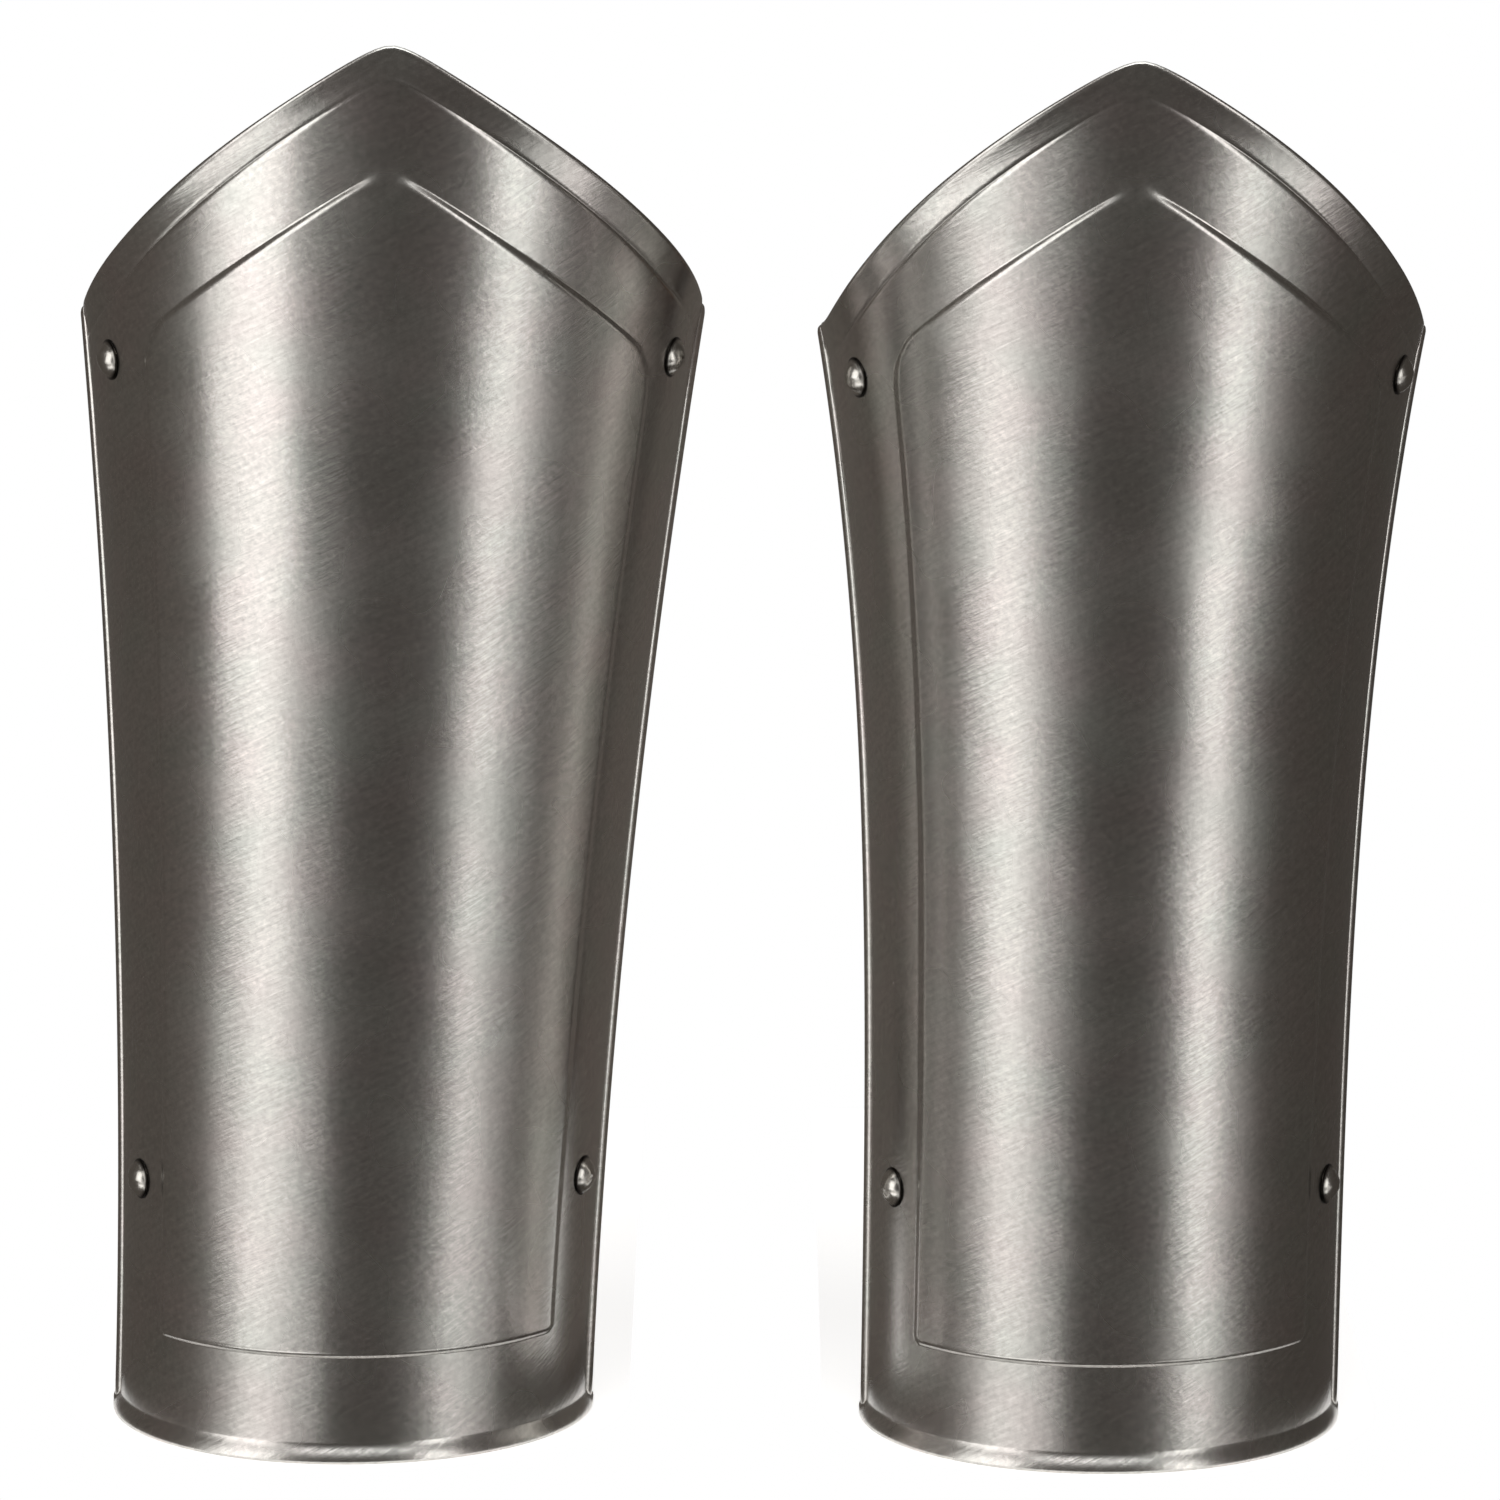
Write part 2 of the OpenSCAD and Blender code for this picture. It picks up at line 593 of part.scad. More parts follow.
// Outline of a box with round corners.
function round_box(w, h, r) = [for (c = [[1, 1, 0], [-1, 1, 90], [-1, -1, 180], [1, -1, 270]])
    for (i = [0 : 4]) [c[0] * (w / 2 - r) + r * cos(c[2] + i * 90 / 4),
        c[1] * (h / 2 - r) + r * sin(c[2] + i * 90 / 4)]];

// Leather loop round the long strap and both plies of the chape.
module keeper(k, l) {
    low = -chape_top - seat_gap;
    high = strap_flat + strap_t / 2 + seat_gap;
    wide = strap_w + side_gap;
    inner_r = 0.6;
    color(leather) greave(k) at_bar(k, l) translate([-keeper_at, (low + high) / 2, 0])
        rotate([0, 90, 0]) linear_extrude(keeper_l, center = true) difference() {
            polygon(round_box(wide + 2 * keeper_t, high - low + 2 * keeper_t, keeper_t + inner_r));
            polygon(round_box(wide, high - low, inner_r));
        }
}

plate(LEFT);  // left_plate
rivets(LEFT);  // left_rivets
burrs(LEFT);  // left_burrs
strap(LEFT, UPPER);  // left_upper_strap
chape(LEFT, UPPER);  // left_upper_chape
chape_rivets(LEFT, UPPER);  // left_upper_chape_rivets
buckle(LEFT, UPPER);  // left_upper_buckle
tongue(LEFT, UPPER);  // left_upper_tongue
keeper(LEFT, UPPER);  // left_upper_keeper
strap(LEFT, LOWER);  // left_lower_strap
chape(LEFT, LOWER);  // left_lower_chape
chape_rivets(LEFT, LOWER);  // left_lower_chape_rivets
buckle(LEFT, LOWER);  // left_lower_buckle
tongue(LEFT, LOWER);  // left_lower_tongue
keeper(LEFT, LOWER);  // left_lower_keeper
plate(RIGHT);  // right_plate
rivets(RIGHT);  // right_rivets
burrs(RIGHT);  // right_burrs
strap(RIGHT, UPPER);  // right_upper_strap
chape(RIGHT, UPPER);  // right_upper_chape
chape_rivets(RIGHT, UPPER);  // right_upper_chape_rivets
buckle(RIGHT, UPPER);  // right_upper_buckle
tongue(RIGHT, UPPER);  // right_upper_tongue
keeper(RIGHT, UPPER);  // right_upper_keeper
strap(RIGHT, LOWER);  // right_lower_strap
chape(RIGHT, LOWER);  // right_lower_chape
chape_rivets(RIGHT, LOWER);  // right_lower_chape_rivets
buckle(RIGHT, LOWER);  // right_lower_buckle
tongue(RIGHT, LOWER);  // right_lower_tongue
keeper(RIGHT, LOWER);  // right_lower_keeper
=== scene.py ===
import bpy
import numpy as np
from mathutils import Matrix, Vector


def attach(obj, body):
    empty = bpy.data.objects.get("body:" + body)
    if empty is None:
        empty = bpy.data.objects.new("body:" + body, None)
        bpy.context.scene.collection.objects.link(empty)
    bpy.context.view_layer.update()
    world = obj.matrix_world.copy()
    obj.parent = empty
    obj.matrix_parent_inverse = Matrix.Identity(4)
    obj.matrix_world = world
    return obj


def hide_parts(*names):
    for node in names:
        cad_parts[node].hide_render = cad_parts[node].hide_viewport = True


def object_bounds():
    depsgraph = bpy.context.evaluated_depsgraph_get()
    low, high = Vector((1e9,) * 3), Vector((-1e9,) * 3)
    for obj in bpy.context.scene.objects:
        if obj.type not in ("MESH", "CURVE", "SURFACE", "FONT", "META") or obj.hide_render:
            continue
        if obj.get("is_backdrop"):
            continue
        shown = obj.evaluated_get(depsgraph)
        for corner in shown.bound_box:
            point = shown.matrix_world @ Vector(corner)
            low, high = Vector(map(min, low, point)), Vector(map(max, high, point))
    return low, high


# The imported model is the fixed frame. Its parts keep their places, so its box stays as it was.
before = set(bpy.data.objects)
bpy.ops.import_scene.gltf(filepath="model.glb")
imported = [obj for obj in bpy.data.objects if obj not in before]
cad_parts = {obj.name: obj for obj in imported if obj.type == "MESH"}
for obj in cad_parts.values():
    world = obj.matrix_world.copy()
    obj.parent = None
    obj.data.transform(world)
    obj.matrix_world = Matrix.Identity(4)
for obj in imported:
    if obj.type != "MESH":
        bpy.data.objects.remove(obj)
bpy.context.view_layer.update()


# ---- Camera ----
# A long lens stands 2.3 m in front of the pair and looks down on it by 10.8 degrees, so that both
# peaks reach the top of the picture and the foot edges show as shallow arcs.
def add_object(name, data):
    """A mesh, lamp or camera as an object of the scene, at the origin."""
    thing = bpy.data.objects.new(name, data)
    bpy.context.scene.collection.objects.link(thing)
    return thing


lens = bpy.data.cameras.new("long_lens")
lens.sensor_width = 36
lens.lens = 220.4
lens.clip_end = 50
camera = add_object("camera", lens)
camera.location = (-0.0003, -2.2843, 0.6107)
camera.rotation_euler = (np.radians(90 - 10.81), 0, 0)
bpy.context.scene.camera = camera
bpy.context.scene.view_settings.view_transform = "Standard"


# ---- Table and background ----
# The pair stands on a pale lacquered floor, laid as two boards with round fronts, a little wider than
# the feet, so that the polished sides mirror the dark room and only their feet mirror the white.
def linear(hex_colour):
    """Linear red, green, blue, alpha of an sRGB hex colour."""
    c = np.array([int(hex_colour[i:i + 2], 16) for i in (1, 3, 5)]) / 255
    c = np.where(c <= 0.04045, c / 12.92, ((c + 0.055) / 1.055) ** 2.4)
    return (*c.tolist(), 1.0)


def add_node(tree, kind, settings, **links):
    """Adds a node. settings sets its properties, and its inputs where a key names one; links joins an
    output to the input of that name, with _ for a space."""
    node = tree.nodes.new(kind)
    for key, value in settings.items():
        if key in node.inputs:
            node.inputs[key].default_value = value
        else:
            setattr(node, key, value)
    for key, output in links.items():
        tree.links.new(output, node.inputs[key.replace("_", " ")])
    return node


def feed(tree, socket, value):
    """Gives a socket a number, a hex colour or another node's output."""
    if isinstance(value, str):
        socket.default_value = linear(value)
    elif isinstance(value, (int, float)):
        socket.default_value = value
    else:
        tree.links.new(value, socket)


def maths(tree, operation, *values):
    """The result of one operation on numbers and other nodes' outputs."""
    node = add_node(tree, "ShaderNodeMath", {"operation": operation})
    for socket, value in zip(node.inputs, values):
        feed(tree, socket, value)
    return node.outputs[0]


def empty_tree(holder):
    """The empty node tree of a material or world."""
    holder.use_nodes = True
    holder.node_tree.nodes.clear()
    return holder.node_tree


def seen_directly(tree):
    """1 for a ray from the camera or out of metal or glass, and 0 for the light that falls on things."""
    path = add_node(tree, "ShaderNodeLightPath", {}).outputs
    seen = maths(tree, "MAXIMUM", path["Is Camera Ray"], path["Is Glossy Ray"])
    return maths(tree, "MAXIMUM", seen, path["Is Transmission Ray"])


def stage_mesh(name, points, faces, material, seen=True):
    """A mesh of the studio, which isn't part of the object. Where it isn't seen, it shows only in
    reflections and casts no shadow."""
    mesh = bpy.data.meshes.new(name)
    mesh.from_pydata(points, [], faces)
    mesh.materials.append(material)
    thing = add_object(name, mesh)
    thing.visible_camera = thing.visible_shadow = seen
    thing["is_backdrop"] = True


floor_glow, room_light = 0.7, 0.55
floor_lacquer = bpy.data.materials.new("matt_white_floor_lacquer")
tree = empty_tree(floor_lacquer)
lacquer = add_node(tree, "ShaderNodeBsdfDiffuse", {"Color": linear("#E4E3E1")})
glow = add_node(tree, "ShaderNodeEmission", {"Color": linear("#FFFFFF")},
                Strength=maths(tree, "MULTIPLY", seen_directly(tree), floor_glow))
both = add_node(tree, "ShaderNodeAddShader", {})
feed(tree, both.inputs[0], lacquer.outputs[0])
feed(tree, both.inputs[1], glow.outputs[0])
add_node(tree, "ShaderNodeOutputMaterial", {}, Surface=both.outputs[0])
turn = np.linspace(np.pi, 2 * np.pi, 49)
board_r, board_back = 0.071, 0.35
for board, x, y in (("left_board", -0.1027, 0.020), ("right_board", 0.0893, 0.0105)):
    front = np.stack([x + board_r * np.cos(turn), y + board_r * np.sin(turn), 0 * turn], axis=1)
    rim = front.tolist() + [(x + board_r, board_back, 0), (x - board_r, board_back, 0)]
    stage_mesh(board, rim, [tuple(range(len(rim)))], floor_lacquer)

world = bpy.data.worlds.new("white_studio")
bpy.context.scene.world = world
tree = empty_tree(world)
white = add_node(tree, "ShaderNodeBackground", {"Color": linear("#FFFFFF")},
                 Strength=maths(tree, "MULTIPLY_ADD", seen_directly(tree), 1 - room_light, room_light))
add_node(tree, "ShaderNodeOutputWorld", {}, Surface=white.outputs[0])


# ---- Lamps and dark screens ----
# Tall soft lamps stand in front, left and right, and give the two bright stripes on each shin. They
# are wider and dimmer near the floor, and the greaves' lower halves mirror that part of them.
# Dark warm screens close the rest of the room, and a wide lamp overhead lights the upward edges.
def soft_lamp(name, width, height, radiance):
    """A rectangular lamp of the same radiance all over, which the camera doesn't see."""
    lamp = bpy.data.lights.new(name, "AREA")
    lamp.shape = "RECTANGLE"
    lamp.size, lamp.size_y = width, height
    lamp.energy = radiance * np.pi * width * height
    thing = add_object(name, lamp)
    thing.visible_camera = False
    return thing


lamp_far = 2.4


def strip_lamp(name, azimuth, width, low, high, radiance):
    """A tall lamp at an azimuth from the camera's side, in degrees, from a low to a high height."""
    thing = soft_lamp(name, width, high - low, radiance)
    thing.data.color = (1.0, 0.993, 0.985)
    a = np.radians(azimuth)
    thing.location = (lamp_far * np.sin(a), -lamp_far * np.cos(a), (low + high) / 2)
    thing.rotation_euler = (np.radians(90), 0, a)


strip_lamp("left_upper_lamp", -54, 1.35, -0.33, 1.7, 2.0)
strip_lamp("left_middle_lamp", -44, 1.15, -0.5, -0.33, 1.45)
strip_lamp("left_low_lamp", -39, 1.7, -1.3, -0.5, 0.8)
strip_lamp("left_floor_lamp", -45, 2.0, -2.0, -1.3, 2.2)
strip_lamp("right_upper_lamp", 41, 0.7, -0.42, 1.5, 2.15)
strip_lamp("right_middle_lamp", 49, 0.85, -0.6, -0.42, 1.6)
strip_lamp("right_low_lamp", 57, 1.3, -1.3, -0.6, 0.58)
strip_lamp("right_floor_lamp", 46, 1.2, -2.0, -1.3, 1.6)

overhead = soft_lamp("overhead_lamp", 2.4, 1.0, 3.0)
overhead.location = (0, -1.5, 2.2)
overhead.rotation_euler = (np.radians(38), 0, 0)


def felt(name, colour):
    """Dark cloth, which gives off the little light that it would scatter back."""
    cloth = bpy.data.materials.new(name)
    tree = empty_tree(cloth)
    glow = add_node(tree, "ShaderNodeEmission", {"Color": (*colour, 1), "Strength": 1.0})
    add_node(tree, "ShaderNodeOutputMaterial", {}, Surface=glow.outputs[0])
    return cloth


wall_r, pit_z = 3.4, -4


def dark_screens(name, from_turn, to_turn, high, colour):
    """A part of the round wall of screens, between two azimuths, with the dark floor inside it."""
    n = 25
    turn = np.radians(np.linspace(from_turn, to_turn, n))
    x, y = wall_r * np.sin(turn), -wall_r * np.cos(turn)
    points = [(*p, z) for z in (pit_z, high) for p in zip(x.tolist(), y.tolist())] + [(0, 0, pit_z)]
    faces = [(i, i + 1, n + 1 + i, n + i) for i in range(n - 1)]
    faces += [(i + 1, i, 2 * n) for i in range(n - 1)]
    stage_mesh(name, points, faces, felt("dark_warm_felt_" + name, colour), seen=False)


dark_screens("front_screens", -34, 34, 2.6, (0.062, 0.056, 0.050))
dark_screens("left_screens", -165, -34, 5.0, (0.100, 0.088, 0.078))
dark_screens("right_screens", 34, 165, 5.0, (0.070, 0.062, 0.055))

# A dark flag stands between the greaves, so that neither mirrors the other. It is clear of the right
# one over the whole of its slide.
flag_x, flag_front, flag_back, flag_top = -0.0065, 0.008, 0.2, 0.42
flag_rim = ((flag_front, 0), (flag_back, 0), (flag_back, flag_top), (flag_front, flag_top))
stage_mesh("flag", [(flag_x, y, z) for y, z in flag_rim], [(0, 1, 2, 3)],
           felt("black_flag_felt", (0.120, 0.106, 0.094)), seen=False)


# ---- Shin plates ----
# Each plate is one sheet of 1.2 mm mild steel, raised to the shin's shape over a stake and planished.
# The top edge is turned out in a cove, the sides are rolled, the foot has a small flange, and the
# panel on the shin is stepped up from the border with a fuller.
KEY = {"left": 0, "right": 1}
peak_h = (360, 357.5)
corner_h = (286, 283)
foot_r = (59.7, 59.4)
knee_r = (77.6, 75.5)
flare = (1.9, 3.2)
lean = (0.042, -0.015)
# Both are made with the outer side at negative angles, and mirror puts the right one in its place.
# turned is the way in which the panel and the rivets stand off the shin line.
turned = (1, -1)
mirror = (1, -1)
outer_fall = (6, 7.5)
inner_fall = (3, 8)
foot_at = ((-102.728, 15.7076, 0), (89.2719, 6.20764, 0))
wrap = 88
set_back = 0.6
sheet_t = 1.2


def to_room(k, p):
    """Points in a greave's own mm, moved to its place in the room in metres."""
    return (np.asarray(p, float) * (mirror[k], 1, 1) + foot_at[k]) / 1000


def ease(t):
    """Smooth step from 0 to 1."""
    t = np.clip(t, 0, 1)
    return t * t * (3 - 2 * t)


def radius(k, z):
    """Radius of the shin at a height: foot radius plus the flare, a power of the height."""
    return foot_r[k] + (knee_r[k] - foot_r[k]) * (np.maximum(z, 0) / corner_h[k]) ** flare[k]


def skin(k, a, z, out=0.0):
    """Point at angle a from the shin line and height z, that stands out from the plain form."""
    a = np.radians(a)
    r = radius(k, z)
    x = lean[k] * z + np.sin(a) * (r + out)
    y = set_back * (r - foot_r[k]) - np.cos(a) * (r + out)
    return np.stack(np.broadcast_arrays(x, y, z), axis=-1)


def corner_cut(e, r):
    """What a round corner of radius r takes off an edge at a distance e from the corner."""
    return np.where(e < r, r - np.sqrt(np.maximum(r * r - (r - np.clip(e, 0, r)) ** 2, 0)), 0)


def gable_edge(k, a):
    """Height of the gable line: two straight slopes with a rounded peak and a little sag."""
    x = np.abs(a) / wrap
    gable = (np.sqrt(x * x + 0.04 ** 2) - 0.04) / (np.sqrt(1 + 0.04 ** 2) - 0.04)
    return peak_h[k] - (peak_h[k] - corner_h[k]) * gable - 12 * x * (1 - x)


def top_edge(k, a):
    """Height of the top edge: the gable line less the fall of each shoulder, which is greatest at three
    quarters of the way, with round corners."""
    x = np.abs(a) / wrap
    fall = np.where(a < 0, outer_fall[k], inner_fall[k]) * (x / 0.75) ** 3 * (1 - x) / 0.25
    return gable_edge(k, a) - fall - corner_cut(np.radians(wrap - np.abs(a)) * knee_r[k], 6)


def foot_edge(k, a):
    """Height of the foot edge: level, with round corners."""
    return corner_cut(np.radians(wrap - np.abs(a)) * foot_r[k], 4)


def panel_side(k, s, v):
    """Angle of the panel's side line s at a share v of the height."""
    return s * 54.5 + turned[k] * (1.5 + 3.5 * v)


def spread(stops, counts):
    """Places between neighbouring stops, which are arrays, with that many steps in each stretch."""
    rows = [stops[i] + (stops[i + 1] - stops[i]) * j / n for i, n in enumerate(counts) for j in range(n)]
    return np.array(rows + [stops[-1]])


def smooth_noise(x, y, seed, size):
    """Sum of eight slow waves in random directions, about 1 high, whose crests lie size apart."""
    rng = np.random.default_rng(seed)
    total = np.zeros(np.broadcast(x, y).shape)
    for turn, phase, stretch in zip(rng.uniform(0, np.pi, 8), rng.uniform(0, 6.28, 8),
                                    rng.uniform(0.7, 1.5, 8)):
        total += np.sin((x * np.cos(turn) + y * np.sin(turn)) * 2 * np.pi * stretch / size + phase)
    return total / 4


# The relief in mm: how far each form stands out or goes in, and its width or its place from the edge.
flange_out, flange_tall = 1.8, 5.0
cove_start, cove_w, cove_fade = 8.2, 7.4, 45
crease_in, crease_at, crease_w = 0.3, 8.8, 0.65
roll_out, roll_w, flank_w = 0.95, 3.2, 0.6
crown_out, crown_start, crown_w = 0.4, 2.6, 1.8
valley_in, valley_at, valley_w = 0.5, 3.7, 0.9
step_out, panel_drop, foot_band = 0.95, 32.5, 28


def plate_relief(k, a, z, v):
    """How far the sheet stands out in mm: the largest of the foot flange, the top cove and the side
    roll, plus the panel's step, plus the slight unevenness that planishing leaves."""
    r = radius(k, z)
    side = np.radians(wrap - np.abs(a)) * r
    below = top_edge(k, a) - z
    above = z - foot_edge(k, a)
    flange = flange_out * ease(1 - above / flange_tall) ** 0.8
    rise = np.clip((cove_start - below) / cove_w, 0, 1)
    off_peak = 0.35 + 0.65 * ease(np.abs(a) / 22)
    cove = (0.5 + 1.2 * ease(side / cove_fade)) * (0.8 * rise + 0.2 * rise ** 2) * off_peak
    # The last 1.5 mm of the top edge is rubbed round.
    cove = cove - 0.5 * np.clip(1 - below / 1.5, 0, 1) ** 2
    crease = -crease_in * np.exp(-((below - crease_at) / crease_w) ** 2) * ease((side - 4) / 5) * off_peak
    # The roll has a steep flank that faces front, a round top, and a shallow valley inside it.
    flank = np.clip((roll_w - side) / flank_w, 0, 1)
    top = np.sin(np.clip((crown_start - side) / crown_w, 0, 1) * np.pi / 2)
    valley = np.exp(-((side - valley_at) / valley_w) ** 2)
    roll = roll_out * (flank * 0.7 + ease(flank) * 0.3) + crown_out * top - valley_in * valley
    edge = np.maximum(np.maximum(flange, cove), roll) + crease

    # Distance inside the panel's outline, with round corners.
    slope = np.cos(np.arctan(0.6))
    top_line = (gable_edge(k, a) - z - panel_drop) * slope
    foot_line = above - foot_band
    side_line = np.minimum(a - panel_side(k, -1, v), panel_side(k, 1, v) - a) * np.pi / 180 * r
    corner = 2.0 + 6.0 * ease((z - 120) / 60)
    up = np.minimum(top_line, foot_line)
    qx, qy = corner - side_line, corner - up
    inside = corner - np.hypot(np.maximum(qx, 0), np.maximum(qy, 0)) - np.minimum(np.maximum(qx, qy), 0)
    # The step fades at the peak of the chevron, where the two halves of the fuller line don't meet.
    at_peak = np.exp(-(np.radians(a) * r / 3.2) ** 2) * (z > 200)
    at_side = ease((up - side_line) / 6 + 0.5)
    width = np.where(z < 60, 1.5, 1.9) + 9 * at_peak + 2 * at_side
    panel = step_out * ease(inside / width + 0.5)

    x = np.radians(a) * r * mirror[k]
    uneven = 0.07 * smooth_noise(x, z * 0.6, 11 + k, 46) + 0.02 * smooth_noise(x, z, 31 + k, 15)
    quiet = ease(side / 12) * ease(below / 16) * ease(above / 12)
    return edge + panel + uneven * quiet


def grid_faces(rows, cols, start=0):
    """Faces of a grid of points, numbered row by row."""
    i = np.arange(rows - 1)[:, None] * cols + np.arange(cols - 1)[None, :] + start
    return np.stack([i, i + 1, i + cols + 1, i + cols], axis=-1).reshape(-1, 4)


def normals_of(p):
    """Unit normals of a grid of points, from the differences along its rows and columns."""
    n = np.cross(np.gradient(p, axis=1), np.gradient(p, axis=0))
    return n / np.linalg.norm(n, axis=-1, keepdims=True)


def piece(name, points, faces, material, body, replaces=(), uv=None, flip=False):
    """Makes a smooth mesh at the origin that rides on a body. faces is a list of arrays, and uv holds
    one place for each point or for each corner of the faces in turn."""
    faces = [np.asarray(f) for f in faces]
    corners = np.concatenate([f.ravel() for f in faces])
    if uv is not None:
        uv = np.asarray(uv).reshape(-1, 2)
        if len(uv) != len(corners):
            uv = uv[corners]
    if flip:
        ends = np.cumsum([f.size for f in faces])
        if uv is not None:
            uv = np.concatenate([uv[e - f.size:e].reshape(*f.shape, 2)[:, ::-1].reshape(-1, 2)
                                 for f, e in zip(faces, ends)])
        faces = [f[:, ::-1] for f in faces]
    mesh = bpy.data.meshes.new(name)
    mesh.from_pydata(np.asarray(points).reshape(-1, 3).tolist(), [],
                     [g for f in faces for g in f.tolist()])
    if uv is not None:
        mesh.uv_layers.new(name="surface").data.foreach_set("uv", uv.ravel())
    mesh.polygons.foreach_set("use_smooth", np.ones(len(mesh.polygons), bool))
    mesh.materials.append(material)
    mesh.update()
    thing = add_object(name, mesh)
    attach(thing, body)
    if replaces:
        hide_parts(*replaces)
    return thing


def plate_mesh(k):
    """Points, faces and surface places of a whole sheet: its outer and inner faces and the half round
    edge between them."""
    rungs = np.array([0, 0.022, 0.075, 0.1, 0.77, 0.83, 0.96, 1.0])
    share = spread(rungs, (16, 12, 16, 84, 20, 14, 26))[:, None]

    def angle_of(mm):
        """The angle that a length takes round the shin, at each share of the height."""
        return np.degrees(mm / radius(k, share * 300))
    edge, flank, rim, fine = angle_of(0.6), angle_of(2.1), angle_of(3.7), angle_of(3.5)
    near, far = panel_side(k, -1, share), panel_side(k, 1, share)
    stops = [-wrap + edge, -wrap + flank, -wrap + rim, near - fine, near + fine, far - fine, far + fine,
             wrap - rim, wrap - flank, wrap - edge]
    a = spread([s[:, 0] for s in stops], (6, 11, 12, 14, 70, 14, 12, 11, 6)).T
    low, high = foot_edge(k, a) + 0.6, top_edge(k, a) - 0.7
    gable = gable_edge(k, a)
    lines = [low, low + 6, low + foot_band - 3.1, low + foot_band + 3.1, gable - panel_drop - 5,
             gable - panel_drop + 5, high - 10, high]
    z = np.zeros_like(a)
    for i in range(len(rungs) - 1):
        t = np.clip((share - rungs[i]) / (rungs[i + 1] - rungs[i]), 0, 1)
        z = np.where(share >= rungs[i], lines[i] + (lines[i + 1] - lines[i]) * t, z)
    middle = skin(k, a, z, plate_relief(k, a, z, share))
    n = normals_of(middle)
    rows, cols = a.shape
    outer, inner = middle + n * sheet_t / 2, middle - n * sheet_t / 2
    place = np.stack([np.radians(a) * radius(k, z) * mirror[k], z], axis=-1)

    # The edge: from the outer to the inner face in five steps of a half circle, all the way round.
    index = np.arange(rows * cols).reshape(rows, cols)
    loop = np.concatenate([index[0, :-1], index[:-1, -1], index[-1, :0:-1], index[:0:-1, 0]])
    at = middle.reshape(-1, 3)[loop]
    along = np.roll(at, -1, axis=0) - np.roll(at, 1, axis=0)
    across = np.cross(along, n.reshape(-1, 3)[loop])
    across /= np.linalg.norm(across, axis=-1, keepdims=True)
    rings = [at + (n.reshape(-1, 3)[loop] * np.cos(t) + across * np.sin(t)) * sheet_t / 2
             for t in np.radians([36, 72, 108, 144])]
    count = rows * cols
    points = np.concatenate([outer.reshape(-1, 3), inner.reshape(-1, 3)] + rings)
    places = np.concatenate([place.reshape(-1, 2)] * 2 + [place.reshape(-1, 2)[loop]] * 4)
    places[count:2 * count, 1] += 1000
    chain = [loop] + [2 * count + i * len(loop) + np.arange(len(loop)) for i in range(4)] + [loop + count]
    strips = [np.stack([p, q, np.roll(q, -1), np.roll(p, -1)], axis=-1)
              for p, q in zip(chain, chain[1:])]
    faces = [grid_faces(rows, cols), grid_faces(rows, cols, count)[:, ::-1]] + strips
    # The last strip ends on the inner face, whose places start at 1000, so it keeps the rim's own.
    corner_places = [places[f.ravel()] for f in faces]
    last = strips[-1]
    corner_places[-1] = places[np.where(last >= 2 * count, last, last - count).ravel()]
    return points, faces, np.concatenate(corner_places)


def noise(tree, place, scale, detail, rough=0.5, distortion=0.0):
    """The level of a cloudy pattern. Its scale is the number of clouds in one unit of the place."""
    return add_node(tree, "ShaderNodeTexNoise", {"Scale": scale, "Detail": detail, "Roughness": rough,
                                                 "Distortion": distortion}, Vector=place).outputs["Fac"]


def ramp(tree, level, low, dark, high, light):
    """A colour that runs from one hex colour at a low level to another at a high level."""
    node = add_node(tree, "ShaderNodeValToRGB", {}, Fac=level)
    for stop, at, colour in zip(node.color_ramp.elements, (low, high), (dark, light)):
        stop.position, stop.color = at, linear(colour)
    return node.outputs[0]


def mixed(tree, share, first, second):
    """The first colour where the share is 0 and the second where it is 1."""
    node = add_node(tree, "ShaderNodeMix", {"data_type": "RGBA"}, Factor=share)
    feed(tree, node.inputs[6], first)
    feed(tree, node.inputs[7], second)
    return node.outputs[2]


def remap(tree, level, low, high, to_low=0.0, to_high=1.0, clamp=True):
    """A level moved from one range to another."""
    return add_node(tree, "ShaderNodeMapRange", {"clamp": clamp, "From Min": low, "From Max": high,
                                                 "To Min": to_low, "To Max": to_high},
                    Value=level).outputs[0]


def bump(tree, height, distance, strength=1.0, **normal):
    """A normal for a height of 1 that stands for a distance in metres, over another normal."""
    return add_node(tree, "ShaderNodeBump", {"Strength": strength, "Distance": distance},
                    Height=height, **normal).outputs[0]


# Plate steel: mild steel, ground with a belt and then satin finished by hand. The diagonal belt marks
# break up the edges of the reflections, and a faint warm and cool tint varies over the sheet.
plate_steel = bpy.data.materials.new("satin_ground_mild_steel")
tree = empty_tree(plate_steel)
surface = add_node(tree, "ShaderNodeUVMap", {"uv_map": "surface"}).outputs[0]
spot = add_node(tree, "ShaderNodeSeparateXYZ", {}, Vector=surface)
# The inner face's places start at 1000 mm up, the outer face's end at 360.
is_inside = maths(tree, "GREATER_THAN", spot.outputs[1], 500.0)
tint = ramp(tree, noise(tree, surface, 1 / 22, 2.0), 0.2, "#C6C8C2", 0.8, "#CEC6C3")
